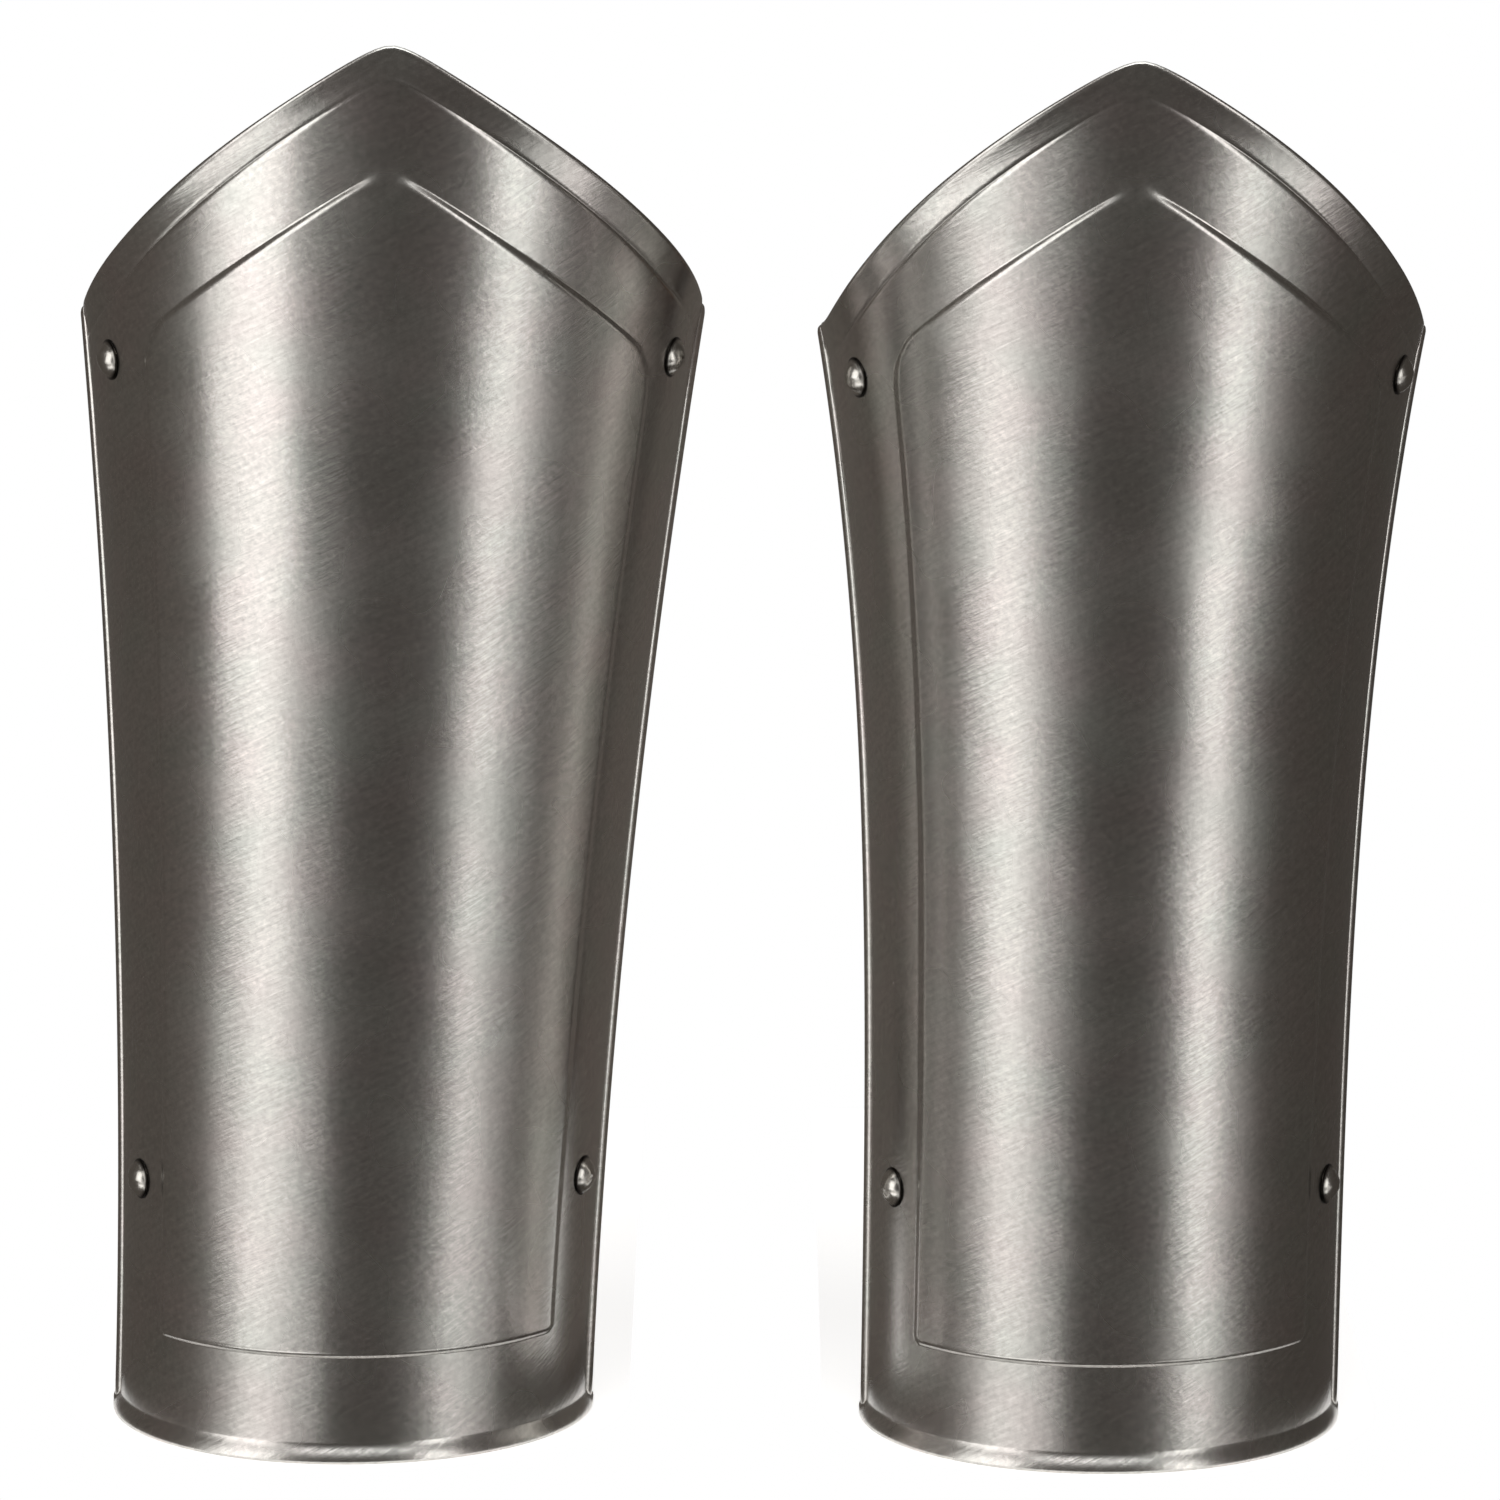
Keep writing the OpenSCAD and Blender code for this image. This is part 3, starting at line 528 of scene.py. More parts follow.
# Real belt marks are about 0.2 mm wide and the grit's speckle 0.1 mm. They are drawn 1 mm and 1.7 mm
# wide, because finer ones are too small to show.
turned_marks = add_node(tree, "ShaderNodeMapping", {"vector_type": "TEXTURE", "Scale": (10, 1.0, 1),
                                                    "Rotation": (0, 0, np.radians(28))}, Vector=surface)
marks = noise(tree, turned_marks.outputs[0], 1.0, 2.0, 0.6)
grain = noise(tree, surface, 1 / 1.7, 2.0, 0.65)
both_marks = maths(tree, "MULTIPLY", remap(tree, grain, 0.25, 0.75, 0.87, 1.13, False),
                   remap(tree, marks, 0.25, 0.75, 0.91, 1.09, False))
ground = add_node(tree, "ShaderNodeVectorMath", {"operation": "SCALE"}, Scale=both_marks)
feed(tree, ground.inputs[0], tint)
# The inside is left as the hammer left it: dents 8 mm wide under a grey skin of scale.
dents = add_node(tree, "ShaderNodeTexVoronoi", {"Scale": 1 / 8, "feature": "SMOOTH_F1", "Smoothness": 0.5,
                                                "Randomness": 1.0}, Vector=surface)
scale_skin = ramp(tree, noise(tree, surface, 1 / 5, 4.0, 0.65), 0.3, "#8E8A85", 0.7, "#B5B2AD")
steel_colour = mixed(tree, is_inside, ground.outputs[0], scale_skin)
marks_bump = bump(tree, marks, 0.000035)
grain_bump = bump(tree, grain, 0.00002, Normal=marks_bump)
dent_bump = bump(tree, maths(tree, "MULTIPLY", dents.outputs["Distance"], is_inside), 0.0005,
                 Normal=grain_bump)
polish = remap(tree, noise(tree, surface, 1 / 30, 1.0), 0.3, 0.7, 0.25, 0.29, False)
steel = add_node(tree, "ShaderNodeBsdfPrincipled", {"Metallic": 1.0}, Base_Color=steel_colour,
                 Roughness=maths(tree, "MULTIPLY_ADD", is_inside, 0.16, polish), Normal=dent_bump)
add_node(tree, "ShaderNodeOutputMaterial", {}, Surface=steel.outputs[0])

for name, k in KEY.items():
    points, faces, places = plate_mesh(k)
    piece(name + "_shin_plate", to_room(k, points), faces, plate_steel, name + "_greave",
          (name + "_plate",), places, flip=(k == 1))


# ---- Rivets ----
# Eight soft iron rivets hold the straps. Each has a hammered dome on the outside, and its shank goes
# through plate, leather and burr and is peened over at the back.
head_d, head_h = 9.6, 3.0
peen_d, peen_h = 6.0, 1.2
shank_d = 4.0
burr_t = 0.8
seat_gap = 0.25
chape_t, strap_t = 1.6, 2.0
LEVELS = {"upper": 0, "lower": 1}


def level_z(k, level):
    """Height of a strap: a little below the upper corners, or a fixed height above the foot."""
    return corner_h[k] - 10.5 if level == 0 else 65.5


def rivet_a(k, side):
    """Angle of a rivet from the shin line, on the leg's outer side (-1) or its inner side (1)."""
    return side * 66.5 + turned[k] * 2


def seat_depth(side):
    """Depth of the leather's middle below the middle of the sheet."""
    return sheet_t / 2 + seat_gap + (chape_t if side < 0 else strap_t) / 2


def skin_up(k, a, z):
    """Unit direction up along the plain form at angle a and height z."""
    f = radius(k, z + 0.5) - radius(k, z - 0.5)
    a = np.radians(a)
    d = np.stack(np.broadcast_arrays(lean[k] + f * np.sin(a), f * (set_back - np.cos(a)), 1.0), axis=-1)
    return d / np.linalg.norm(d, axis=-1, keepdims=True)


def skin_normal(k, a, z):
    """Unit direction out of the plain form: the level direction crossed with the upward one."""
    t = np.radians(a)
    level = np.stack(np.broadcast_arrays(np.cos(t), np.sin(t), 0.0), axis=-1)
    n = np.cross(level, skin_up(k, a, z))
    return n / np.linalg.norm(n, axis=-1, keepdims=True)


def lathe(profile, turns):
    """A closed turned form: the profile's radius and height, from the top of the axis to its foot,
    carried round Z. Its first and last point lie on the axis."""
    r, h = np.array(profile, float).T
    t = np.linspace(0, 2 * np.pi, turns, endpoint=False)
    rings = np.stack([np.outer(r[1:-1], np.cos(t)), np.outer(r[1:-1], np.sin(t)),
                      np.outer(h[1:-1], np.ones(turns))], axis=-1).reshape(-1, 3)
    points = np.concatenate([[[0, 0, h[0]]], rings, [[0, 0, h[-1]]]])
    i = np.arange(turns)
    j = (i + 1) % turns
    m = 1 + np.arange(len(r) - 3)[:, None] * turns
    quads = np.stack([m + turns + i, m + turns + j, m + j, m + i], axis=-1).reshape(-1, 4)
    last = len(points) - 1
    return points, [np.stack([0 * i, 1 + i, 1 + j], axis=-1), quads,
                    np.stack([0 * i + last, last - turns + j, last - turns + i], axis=-1)]


def in_frame(points, place, z_axis, y_axis):
    """Points moved to a place, with their Z and Y axes turned to two unit directions."""
    x_axis = np.cross(y_axis, z_axis)
    return place + points @ np.array([x_axis, y_axis, z_axis])


def joined(parts):
    """Several closed forms as one mesh: their points and lists of faces one after another."""
    start, all_faces = 0, []
    for points, faces in parts:
        all_faces += [f + start for f in faces]
        start += len(points)
    return np.concatenate([p for p, f in parts]), all_faces


def dome_profile(d, h, steps):
    """A cap of a ball as radius and height, from its top down to its rim."""
    ball = (d * d / 4 + h * h) / (2 * h)
    full = np.arcsin(min(d / 2 / ball, 1)) if h < d / 2 else np.pi / 2
    t = np.linspace(0, full, steps)
    return [(ball * np.sin(u), h - ball + ball * np.cos(u)) for u in t[:-1]] + [(d / 2, 0.0)]


# Rivet iron: forged and rubbed bright with emery. It shows the light and dark of the room in a small
# oval, broken by faint hammer facets and scratches.
rivet_iron = bpy.data.materials.new("forged_iron_rubbed_with_emery")
tree = empty_tree(rivet_iron)
where = add_node(tree, "ShaderNodeTexCoord", {}).outputs["Object"]
facets = add_node(tree, "ShaderNodeTexVoronoi", {"Scale": 450.0, "feature": "SMOOTH_F1",
                                                 "Smoothness": 0.6}, Vector=where)
rub = noise(tree, where, 1800.0, 3.0, 0.65)
facet_bump = bump(tree, facets.outputs["Distance"], 0.00006, 0.6)
rub_bump = bump(tree, rub, 0.00002, Normal=facet_bump)
# Painted shade: a near black ring on the foot of each dome, where v nears 1, stands in for the contact
# shadow in the corner between dome and plate.
rim_place = add_node(tree, "ShaderNodeUVMap", {"uv_map": "surface"})
rim_parts = add_node(tree, "ShaderNodeSeparateXYZ", {}, Vector=rim_place.outputs[0])
iron_with_painted_contact_shade = mixed(tree, remap(tree, rim_parts.outputs[1], 0.86, 0.98),
                   mixed(tree, rub, "#B4B1AB", "#D2CFC9"), "#24211E")
iron = add_node(tree, "ShaderNodeBsdfPrincipled", {"Metallic": 1.0, "Roughness": 0.24},
                Base_Color=iron_with_painted_contact_shade, Normal=rub_bump)
add_node(tree, "ShaderNodeOutputMaterial", {}, Surface=iron.outputs[0])

for name, k in KEY.items():
    forms, places = [], []
    for level in (0, 1):
        for side in (-1, 1):
            z, a = level_z(k, level), rivet_a(k, side)
            head_z = sheet_t / 2 + 0.02
            hide_t = chape_t if side < 0 else strap_t
            peen_z = -seat_depth(side) - hide_t / 2 - seat_gap - burr_t - 0.02
            # Below the dome is a skirt 0.35 mm wide, which carries the painted contact shade in the
            # corner.
            head = dome_profile(head_d, head_h, 12)
            head = [(r, h + head_z) for r, h in head[:-1]] + [(head_d / 2 - 0.02, head_z + 0.3),
                                                              (head_d / 2 + 0.35, head_z + 0.12),
                                                              (head_d / 2 + 0.3, head_z)]
            peen = dome_profile(peen_d, peen_h, 7)
            peen = [(peen_d / 2 - 0.15, peen_z), (peen_d / 2, peen_z - 0.2)] + \
                [(r, peen_z - h) for r, h in peen[-2::-1]]
            profile = head + [(shank_d / 2, head_z), (shank_d / 2, peen_z)] + peen
            points, faces = lathe(profile, 40)
            # Light hammer work leaves each dome a little out of round.
            rng = np.random.default_rng(70 + 10 * k + 2 * level + (side > 0))
            turn = np.arctan2(points[:, 1], points[:, 0])
            r = np.hypot(points[:, 0], points[:, 1])
            top = (points[:, 2] > head_z + 0.3) * np.sin(np.minimum(r / (head_d / 2), 1) * np.pi)
            for lobes in (2, 3, 5):
                points[:, 2] += 0.05 * top * np.sin(lobes * turn + rng.uniform(0, 6.28))
            place = skin(k, a, z)
            forms.append((in_frame(points, place, skin_normal(k, a, z), skin_up(k, a, z)), faces))
            # The second place is the share of the head's radius. The material paints the contact shade
            # where it nears 1.
            on_head = points[:, 2] > head_z - 0.01
            places.append(np.stack([turn, np.where(on_head, r / (head_d / 2), 0)], axis=-1))
    points, faces = joined(forms)
    piece(name + "_dome_rivets", to_room(k, points), faces, rivet_iron, name + "_greave",
          (name + "_rivets",), np.concatenate(places), flip=(k == 1))

# Burrs: punched washers of the same iron, left as they came off the punch, so they stay CAD nodes.
for name in KEY:
    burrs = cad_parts[name + "_burrs"]
    burrs.data.materials.clear()
    burrs.data.materials.append(rivet_iron)


# ---- Straps and chapes ----
# Four long straps of 2 mm oak tanned cowhide run from the inner rivets round the back of the leg.
# Four short ones, the chapes, of 1.6 mm hide, hold the buckles in a fold closed by two small rivets.
strap_w = 16.0
bend_r = 30.0
lead = 10.0
bar_r = 1.5
fold_mid = bar_r + 0.15 + chape_t / 2
ply = chape_t / 2 + 0.1
chape_top = ply + chape_t / 2
strap_flat = chape_top + seat_gap + strap_t / 2
strap_over = fold_mid + chape_t / 2 + seat_gap + strap_t / 2
far_bar = 17 * np.array([np.cos(np.radians(16)), np.sin(np.radians(16))])
strap_under = far_bar[1] - bar_r - seat_gap - strap_t / 2
tail_l, taper = 34.0, 8.0


def bar_at(k, level):
    """Middle of the buckle bar behind the leg."""
    z = level_z(k, level)
    edge_y = skin(k, wrap, z, -seat_depth(1))[1]
    return np.array([lean[k] * z + (tail_l - far_bar[0] - taper) / 2, edge_y + lead + bend_r - ply, z])


def strap_n(s):
    """Height of the long strap's middle over the bar, s mm past it: flat, up over the bar, down under
    the far bar, and on to the leg's inner side."""
    to_bar = strap_flat + (strap_over - strap_flat) * ease((s + taper) / (taper - 1))
    under = strap_over + (strap_under - strap_over) * ease((s + 1) / far_bar[0])
    away = strap_under + (ply - strap_under) * ease((s - far_bar[0] + 1) / taper)
    return np.where(s < -1, to_bar, np.where(s < far_bar[0] - 1, under, away))


def chape_n(s):
    """Height of the chape's outer ply over the bar's axis: flat, then up to the fold."""
    return ply + (fold_mid - ply) * ease((s + taper) / taper)


def rear_run(k, level, s, n, slope):
    """Stations of a band that runs along X behind the leg: place, outward and width directions."""
    place = bar_at(k, level) + np.stack([s, n, 0 * s], axis=-1)
    out = np.stack([-np.sin(slope), np.cos(slope), 0 * s], axis=-1)
    return place, out, np.tile([0.0, 0.0, 1.0], (len(s), 1))


def seat_run(k, level, side, count):
    """Stations on the plate's inner face, from beyond the rivet to the plate's rear edge."""
    z = level_z(k, level)
    first = rivet_a(k, side) - side * np.degrees(10 / radius(k, z))
    a = np.linspace(first, side * wrap, count)
    return skin(k, a, z, -seat_depth(side)), skin_normal(k, a, z), skin_up(k, a, z)


def bend_run(k, level, side, count):
    """Stations round the quarter bend behind the plate's rear edge."""
    z = level_z(k, level)
    x = skin(k, side * wrap, z, -seat_depth(side))[0]
    y = skin(k, wrap, z, -seat_depth(1))[1] + lead
    t = np.linspace(0, np.pi / 2, count)[:, None]
    out = np.concatenate([side * np.cos(t), np.sin(t), 0 * t], axis=1)
    tilt = skin_up(k, side * wrap, z)
    w = tilt + (np.array([0, 0, 1.0]) - tilt) * ease(t / (np.pi / 2))
    w /= np.linalg.norm(w, axis=1, keepdims=True)
    place = np.array([x - side * bend_r, y, z]) + out * bend_r
    out = out - w * np.sum(out * w, axis=1, keepdims=True)
    return place, out / np.linalg.norm(out, axis=1, keepdims=True), w


def joined_runs(*runs):
    """Runs of stations one after another, as three arrays."""
    return [np.concatenate([run[i] for run in runs]) for i in range(3)]


def lengths_along(place):
    """How far each station is from the first, along the run."""
    return np.concatenate([[0], np.cumsum(np.linalg.norm(np.diff(place, axis=0), axis=1))])


def leather_band(stations, half, across, t, slots):
    """A cut strip of leather of thickness t. Its grid runs along the stations and across the width.
    The cells inside each slot are left out, the grid round the slot is drawn in to a stadium, and
    walls close all the edges, which are rounded over. Places are mm along and across; the flesh side
    starts at 100 across, and the cut edges at 50."""
    place, out, wide = stations
    along = lengths_along(place)
    u, w = np.meshgrid(along, across, indexing="ij")
    kept = np.ones((len(along) - 1, len(across) - 1), bool)
    x, y = u.copy(), w.copy()
    for centre, half_l, half_w in slots:
        cell_u = (along[:-1] + along[1:]) / 2 - centre
        cell_w = (across[:-1] + across[1:]) / 2
        kept &= ~((np.abs(cell_u)[:, None] < half_l) & (np.abs(cell_w)[None, :] < half_w))
        px, py = (u - centre) / half_l, w / half_w
        q = np.maximum(np.abs(px), np.abs(py))
        turn = np.arctan2(w, u - centre)
        # Distance to the stadium and to the box along each direction.
        c, d = np.abs(np.cos(turn)), np.abs(np.sin(turn))
        box = 1 / np.maximum(c / half_l, d / half_w)
        flat = half_l - half_w
        root = np.maximum(half_w ** 2 - (flat * d) ** 2, 0)
        stadium = np.where(half_w * c <= flat * d, half_w / np.maximum(d, 1e-9),
                           flat * c + np.sqrt(root))
        reach = 1.45
        share = np.clip((reach - q) / (reach - 1), 0, 1)
        scale = 1 + (stadium / box - 1) * share
        near = (q < reach) & (q > 0.999)
        x = np.where(near, centre + (u - centre) * scale, x)
        y = np.where(near, w * scale, y)

    def at(values):
        """Values of the stations at each point's place between two of them."""
        return np.stack([np.interp(x, along, values[:, i]) for i in range(values.shape[1])], axis=-1)
    h = np.interp(x, along, half)
    side = y * h / (strap_w / 2)
    from_edge = np.minimum(h - np.abs(side), np.minimum(x, along[-1] - x))
    dome = t / 2 - corner_cut(np.maximum(from_edge, 0), 0.28 * t)
    middle = at(place) + at(wide) * side[..., None]
    shift = at(out) * dome[..., None]
    rows, cols = x.shape
    count = rows * cols
    points = np.concatenate([(middle + shift).reshape(-1, 3), (middle - shift).reshape(-1, 3)])
    cells = grid_faces(rows, cols).reshape(rows - 1, cols - 1, 4)[kept]
    # An edge that only one cell has is an outline, and gets a wall.
    ends = np.concatenate([cells[:, [i, (i + 1) % 4]] for i in range(4)])
    code = np.sort(ends, axis=1) @ np.array([count, 1])
    _, first, times = np.unique(code, return_index=True, return_counts=True)
    rim = ends[first[times == 1]]
    walls = np.stack([rim[:, 1], rim[:, 0], rim[:, 0] + count, rim[:, 1] + count], axis=-1)
    grain = np.stack([x, side], axis=-1).reshape(-1, 2)
    wall_places = grain[rim[:, [1, 0, 0, 1]]]
    wall_places[..., 1] = [50, 50, 50 + t, 50 + t]
    uv = np.concatenate([grain[cells.ravel()], (grain + (0, 100))[cells[:, ::-1].ravel()],
                         wall_places.reshape(-1, 2)])
    return points, [cells, cells[:, ::-1] + count, walls], uv


# Strap leather: vegetable tanned cowhide, dyed dark brown, oiled and waxed. The grain side has fine
# pebbles and pores with a soft sheen, the flesh side a dull nap, and the cut edges are burnished dark.
strap_leather = bpy.data.materials.new("oak_tanned_cowhide_oiled")
tree = empty_tree(strap_leather)
surface = add_node(tree, "ShaderNodeUVMap", {"uv_map": "surface"}).outputs[0]
spot = add_node(tree, "ShaderNodeSeparateXYZ", {}, Vector=surface)
is_flesh = maths(tree, "GREATER_THAN", spot.outputs[1], 75.0)
not_grain = maths(tree, "GREATER_THAN", spot.outputs[1], 30.0)
# Pebbles of real leather are about 0.4 mm wide, drawn here at 0.9 mm so that they show.
pebbles = add_node(tree, "ShaderNodeTexVoronoi", {"Scale": 1 / 0.9, "feature": "SMOOTH_F1",
                                                  "Smoothness": 0.35, "Randomness": 0.9}, Vector=surface)
creases = noise(tree, surface, 1 / 3.5, 4.0, 0.6, 0.8)
nap = noise(tree, surface, 1 / 0.5, 4.0, 0.75)
grain_colour = ramp(tree, noise(tree, surface, 1 / 9, 3.0, 0.6), 0.3, "#2E1C12", 0.72, "#4A2E1D")
flesh_colour = ramp(tree, nap, 0.3, "#5A3F2B", 0.7, "#8A684A")
hide = mixed(tree, is_flesh, mixed(tree, not_grain, grain_colour, "#1C110B"), flesh_colour)
grain_height = maths(tree, "MULTIPLY_ADD", creases, 0.8, pebbles.outputs["Distance"])
height = add_node(tree, "ShaderNodeMix", {"data_type": "FLOAT"}, Factor=is_flesh)
feed(tree, height.inputs[2], grain_height)
feed(tree, height.inputs[3], nap)
hide_bump = bump(tree, height.outputs[0], 0.00022, 0.8)
hide_shader = add_node(tree, "ShaderNodeBsdfPrincipled", {"IOR": 1.48, "Sheen Weight": 0.08,
                                                          "Sheen Roughness": 0.5},
                       Base_Color=hide, Roughness=remap(tree, is_flesh, 0.0, 1.0, 0.42, 0.85),
                       Normal=hide_bump)
add_node(tree, "ShaderNodeOutputMaterial", {}, Surface=hide_shader.outputs[0])


def leather_piece(name, part, what, node, body, form):
    """A band as a piece with crisp cut edges, which replaces a CAD node and rides on a body."""
    points, faces, places = form
    k = KEY[name]
    thing = piece(f"{name}_{part}_{what}", to_room(k, points), faces, strap_leather, body,
                  (f"{name}_{part}_{node}",), places, flip=(k == 1))
    thing.data.set_sharp_from_angle(angle=np.radians(50))


seat_n, bend_n, fold_n = 36, 40, 19
half_w = strap_w / 2
strap_rows = spread(np.array([-8, -7.4, -1.7, 1.7, 7.4, 8]), (4, 7, 6, 7, 4))
chape_rows = spread(np.array([-8, -7.4, -2.5, 2.5, 7.4, 8]), (4, 6, 8, 6, 4))
for name, k in KEY.items():
    for part, level in LEVELS.items():
        # The long strap: tip, four punched slots, up over the bar, under the far bar and round the leg.
        s = np.concatenate([np.arange(-tail_l, far_bar[0] + taper - 0.3, 0.5), [far_bar[0] + taper]])
        slope = np.arctan2(strap_n(s + 0.2) - strap_n(s - 0.2), 0.4)
        rear = rear_run(k, level, s, strap_n(s), slope)
        bend = [v[::-1] for v in bend_run(k, level, 1, bend_n)]
        seat = [v[::-1] for v in seat_run(k, level, 1, seat_n)]
        stations = joined_runs(rear, bend, [v[1:] for v in seat])
        half = np.full(len(stations[0]), half_w)
        tip = s < -28
        half[:len(s)][tip] = 2.5 + (half_w - 2.5) * np.sin((s[tip] + tail_l) / 6 * np.pi / 2)
        half[-5:] -= 2 * np.linspace(0, 1, 5) ** 2
        lengths = lengths_along(stations[0])
        holes = []
        for i in range(-2, 2):
            ends = lengths[[np.argmin(np.abs(s - (2.5 + 14 * i + d))) for d in (-3.5, 3.5)]]
            holes.append((ends.mean(), (ends[1] - ends[0]) / 2, 1.7))
        leather_piece(name, part, "long_strap", "strap", name + "_greave",
                      leather_band(stations, half, strap_rows, strap_t, holes))

        # The chape: from its rivet round the leg to the bar, over it, and back under itself.
        s = np.arange(-taper, 0, 0.5)
        slot_at = 5
        slope = np.arctan2(chape_n(s + 0.2) - chape_n(s - 0.2), 0.4)
        over = rear_run(k, level, s, chape_n(s), slope)
        t = np.radians(np.linspace(90, -90, fold_n))[:, None]
        turn = np.concatenate([np.cos(t), np.sin(t), 0 * t], axis=1)
        fold = (bar_at(k, level) + turn * fold_mid, turn, np.tile([0.0, 0.0, 1.0], (fold_n, 1)))
        back = s[::-1]
        under = rear_run(k, level, back, -chape_n(back), np.pi - np.arctan2(
            chape_n(back + 0.2) - chape_n(back - 0.2), 0.4))
        s_end = np.arange(-9, -30.1, -1.0)
        end = rear_run(k, level, s_end, 0 * s_end - ply, 0 * s_end + np.pi)
        seat = seat_run(k, level, -1, seat_n)
        bend = bend_run(k, level, -1, bend_n)
        stations = joined_runs([v[:-1] for v in seat], bend, over, fold, under, end)
        before_bar = seat_n - 1 + bend_n
        half = np.full(len(stations[0]), half_w)
        half[:5] -= 2 * np.linspace(1, 0, 5) ** 2
        ends = lengths_along(stations[0])[[before_bar + slot_at,
                                           before_bar + 2 * len(s) + fold_n - 1 - slot_at]]
        slots = [(ends.mean(), (ends[1] - ends[0]) / 2, 2.5)]
        leather_piece(name, part, "buckle_chape", "chape", name + "_greave",
                      leather_band(stations, half, chape_rows, chape_t, slots))


# ---- Buckles ----
# Each buckle is bent from 3 mm steel wire and brazed shut, and pivots in the chape's fold. The small
# rivets that close the chape are cut from the same wire. Both stay CAD nodes and get their finish here.
buckle_steel = bpy.data.materials.new("drawn_steel_wire_filed_and_polished")
tree = empty_tree(buckle_steel)
where = add_node(tree, "ShaderNodeTexCoord", {}).outputs["Object"]
worn = noise(tree, where, 220.0, 4.0, 0.6)
filed = noise(tree, where, 1500.0, 3.0, 0.7)
wire = add_node(tree, "ShaderNodeBsdfPrincipled", {"Metallic": 1.0},
                Base_Color=ramp(tree, worn, 0.35, "#8F8B84", 0.62, "#C4C1BB"),
                Roughness=remap(tree, worn, 0.3, 0.7, 0.38, 0.22), Normal=bump(tree, filed, 0.00003))
add_node(tree, "ShaderNodeOutputMaterial", {}, Surface=wire.outputs[0])
for name in KEY:
    for part in LEVELS:
        for what in ("buckle", "chape_rivets"):
            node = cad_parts[f"{name}_{part}_{what}"]
            node.data.materials.clear()
            node.data.materials.append(buckle_steel)


# ---- Tongues ----
# A wire tongue is curled round the buckle's bar, rises through the strap's slot and lies on the far
# bar. It is bent cold from 2.4 mm wire and filed thin at the tip.
def swept_wire(path, radii, side_count):
    """A round wire along a path in the plane of X and Y, closed with a dome at each end: rings of
    the given radii, square to the path's own direction."""
    path, radii = np.asarray(path, float), np.asarray(radii, float)
    heading = np.gradient(path, axis=0)
    heading /= np.linalg.norm(heading, axis=1, keepdims=True)
    cap = np.radians([0, 30, 60, 80])
    first, last = path[0], path[-1]
    start = [(first - heading[0] * radii[0] * np.sin(c), radii[0] * np.cos(c), heading[0])
             for c in cap[:0:-1]]
    end = [(last + heading[-1] * radii[-1] * np.sin(c), radii[-1] * np.cos(c), heading[-1])
           for c in cap[1:]]
    rings = start + list(zip(path, radii, heading)) + end
    centre = np.array([r[0] for r in rings])
    size = np.array([r[1] for r in rings])
    head = np.array([r[2] for r in rings])
    across = np.stack([-head[:, 1], head[:, 0]], axis=-1)
    t = np.linspace(0, 2 * np.pi, side_count, endpoint=False)
    xy = centre[:, None] + across[:, None] * (size[:, None] * np.cos(t))[..., None]
    z = size[:, None] * np.sin(t)
    points = np.concatenate([xy, z[..., None]], axis=-1).reshape(-1, 3)
    i = np.arange(side_count)
    j = (i + 1) % side_count
    m = np.arange(len(rings) - 1)[:, None] * side_count
    quads = np.stack([m + i, m + j, m + side_count + j, m + side_count + i], axis=-1).reshape(-1, 4)
    tips = np.array([[*centre[0], 0], [*centre[-1], 0]])
    tip = len(points)
    fans = [np.stack([0 * i + tip, j, i], axis=-1),
            np.stack([0 * i + tip + 1, tip - side_count + i, tip - side_count + j], axis=-1)]
    return np.concatenate([points, tips]), [quads] + fans


def ring_form(inner, outer, tall, edge, turns):
    """A round band about Z: a rectangle with rounded corners carried round the axis."""
    corners = [(outer - edge, tall / 2 - edge, 0), (inner + edge, tall / 2 - edge, 90),
               (inner + edge, edge - tall / 2, 180), (outer - edge, edge - tall / 2, 270)]
    section = np.array([(r + edge * np.cos(np.radians(c + d)), h + edge * np.sin(np.radians(c + d)))
                        for r, h, c in corners for d in (0, 30, 60, 90)])
    t = np.linspace(0, 2 * np.pi, turns, endpoint=False)
    points = np.stack([section[:, 0] * np.cos(t)[:, None], section[:, 0] * np.sin(t)[:, None],
                       section[:, 1] + 0 * t[:, None]], axis=-1).reshape(-1, 3)
    n = len(section)
    i, j = np.meshgrid(np.arange(turns), np.arange(n), indexing="ij")
    a, b = i * n + j, i * n + (j + 1) % n
    c, d = (i + 1) % turns * n + (j + 1) % n, (i + 1) % turns * n + j
    return points, [np.stack([a, d, c, b], axis=-1).reshape(-1, 4)]


eye_r, wire_r = bar_r + 0.08, 1.2
rise = np.array([np.cos(np.radians(48)), np.sin(np.radians(48))])
rest = far_bar + (0, bar_r + wire_r + 0.05)
elbow = 9 * rise
arm = (rest - elbow) / np.linalg.norm(rest - elbow)
t = np.linspace(0, 1, 9)[:, None]
bow = (elbow - 2 * rise) * (1 - t) ** 2 + 2 * elbow * t * (1 - t) + (elbow + 2 * arm) * t ** 2
before = [rise * d for d in (eye_r + 0.9, 4.2, 5.6)]
after = [elbow + arm * d for d in np.linspace(3.2, np.linalg.norm(rest - elbow), 5)]
tip = [rest + arm * 1.2 - (0, 0.07), rest + arm * 2 - (0, 0.15)]
path = np.array(before + bow.tolist() + [p.tolist() for p in after] + [p.tolist() for p in tip])
radii = np.interp(np.arange(len(path)), [0, len(path) - 4, len(path) - 1],
                  [wire_r, wire_r, 0.75 * wire_r])
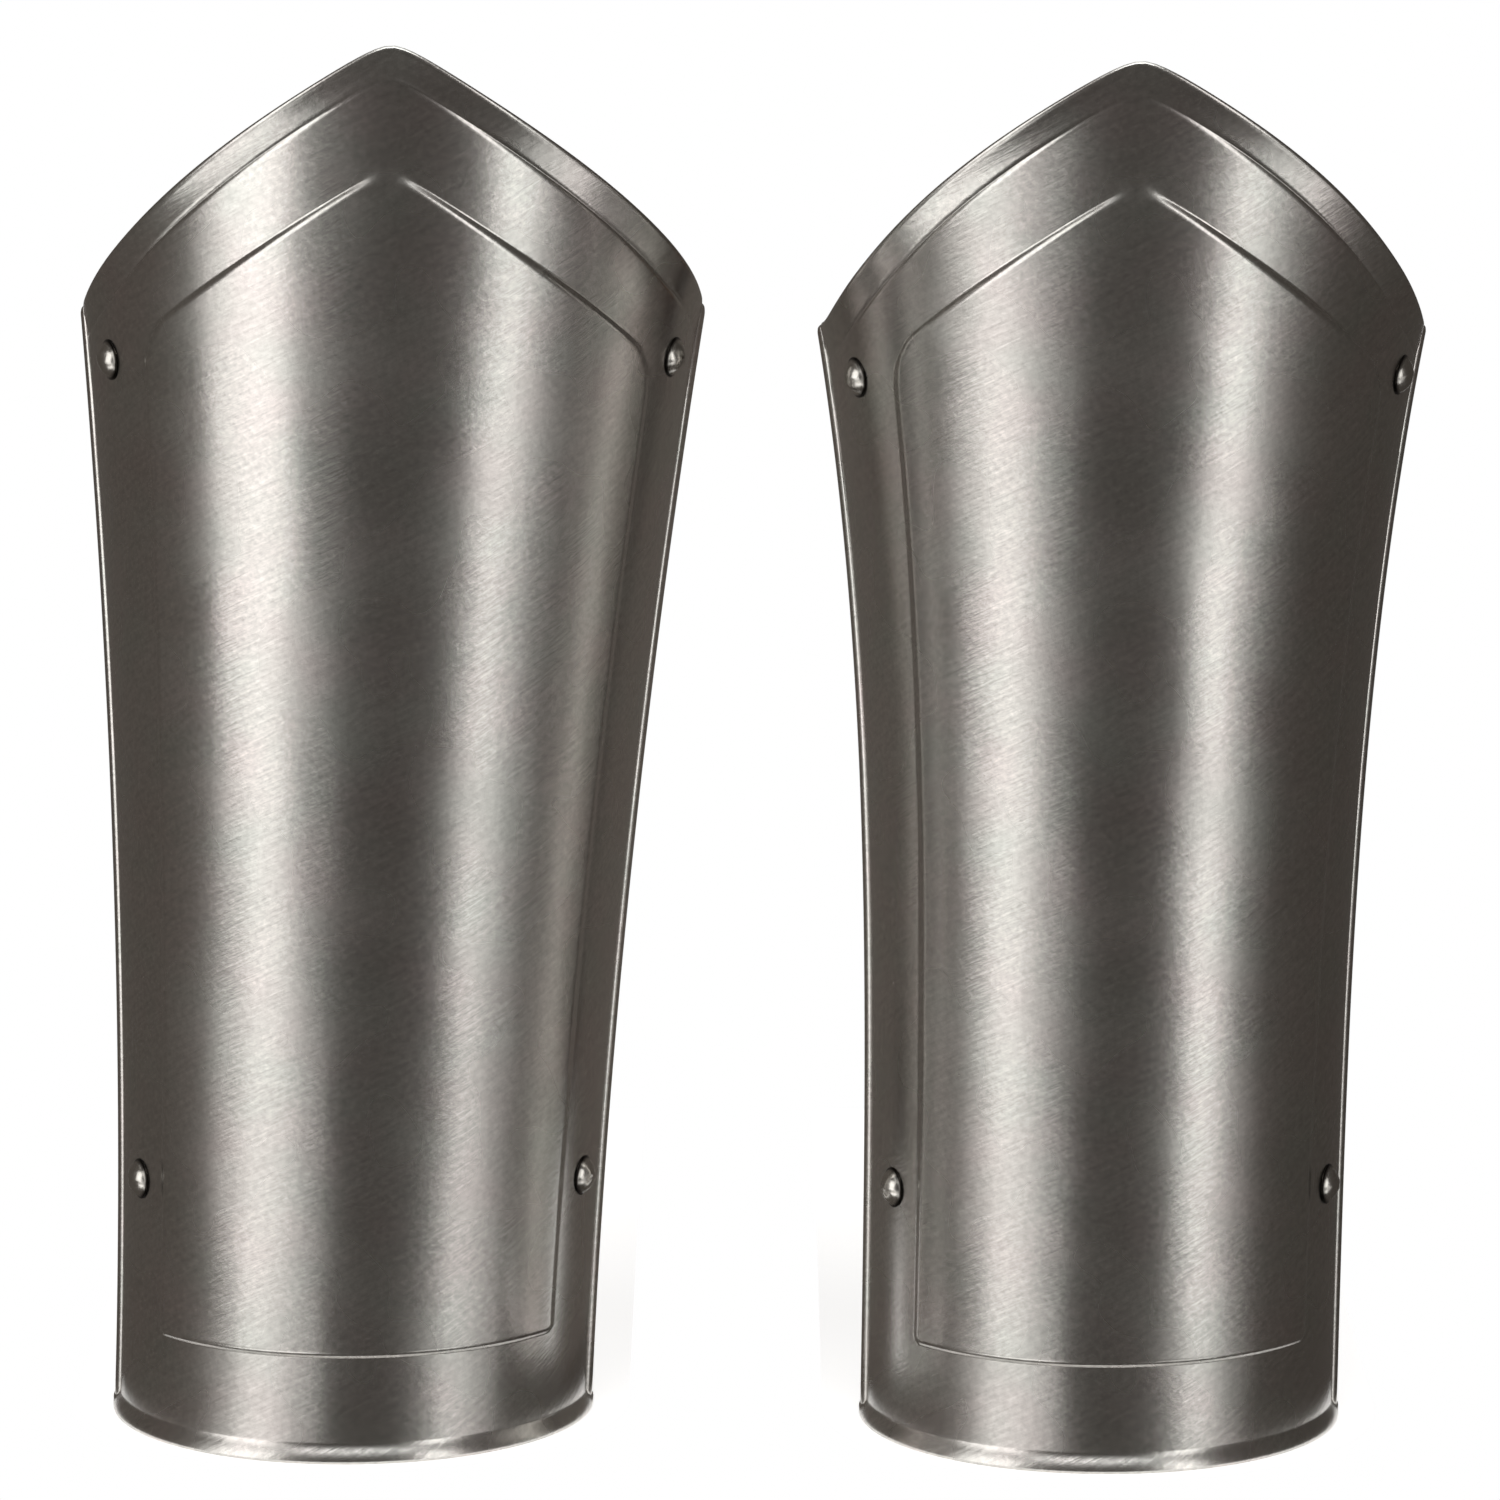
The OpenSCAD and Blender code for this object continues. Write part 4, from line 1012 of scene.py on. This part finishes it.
for name, k in KEY.items():
    for part, level in LEVELS.items():
        points, faces = joined([ring_form(eye_r, eye_r + 1.4, 4.0, 0.4, 40), swept_wire(path, radii, 20)])
        piece(f"{name}_{part}_wire_tongue", to_room(k, points + bar_at(k, level)), faces, buckle_steel,
              f"{name}_{part}_tongue", (f"{name}_{part}_tongue",), flip=(k == 1))


# ---- Keepers ----
# A loop of 1.5 mm leather, wetted and shrunk on round both straps, holds the free end. Its ends meet
# on the leg's side and are sewn edge to edge.
low, high = -chape_top - seat_gap, strap_flat + strap_t / 2 + seat_gap
keeper_t, keeper_l = 1.5, 7.0
wide = strap_w + 0.6
corner = 0.6 + keeper_t / 2


def loop_stations(k, level):
    """Stations of a band once round the straps: a box with round corners, through its wall's middle."""
    x, y = wide / 2 + keeper_t / 2 - corner, (high - low) / 2 + keeper_t / 2 - corner
    turn = np.radians(np.concatenate([np.linspace(q, q + 90, 9) for q in (-90, 0, 90, 180)]))
    hub = np.repeat([(x, -y), (x, y), (-x, y), (-x, -y)], 9, axis=0)
    ring = np.stack([np.cos(turn), np.sin(turn)], axis=-1)
    path = hub + ring * corner
    # The run starts and ends at the seam in the middle of the leg's side, with 0.12 mm between.
    seam = np.linspace(0, x, 6)[:-1]
    first = np.stack([seam, 0 * seam - y - corner], axis=-1)
    last = np.stack([-seam[::-1], 0 * seam - y - corner], axis=-1)
    down = np.tile([0.0, -1.0], (len(seam), 1))
    path, ring = np.concatenate([first, path, last]), np.concatenate([down, ring, down])
    path[0, 0], path[-1, 0] = 0.06, -0.06
    middle = bar_at(k, level) + (-16, (low + high) / 2, 0)
    place = middle + np.stack([0 * path[:, 0], path[:, 1], path[:, 0]], axis=-1)
    out = np.stack([0 * ring[:, 0], ring[:, 1], ring[:, 0]], axis=-1)
    return [place, out, np.tile([1.0, 0.0, 0.0], (len(path), 1))]


for name, k in KEY.items():
    for part, level in LEVELS.items():
        stations = loop_stations(k, level)
        half = np.full(len(stations[0]), keeper_l / 2)
        rows = spread(np.array([-8, -7.0, 7.0, 8]), (4, 8, 4))
        leather_piece(name, part, "keeper_loop", "keeper", f"{name}_{part}_keeper",
                      leather_band(stations, half, rows, keeper_t, []))


low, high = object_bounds()
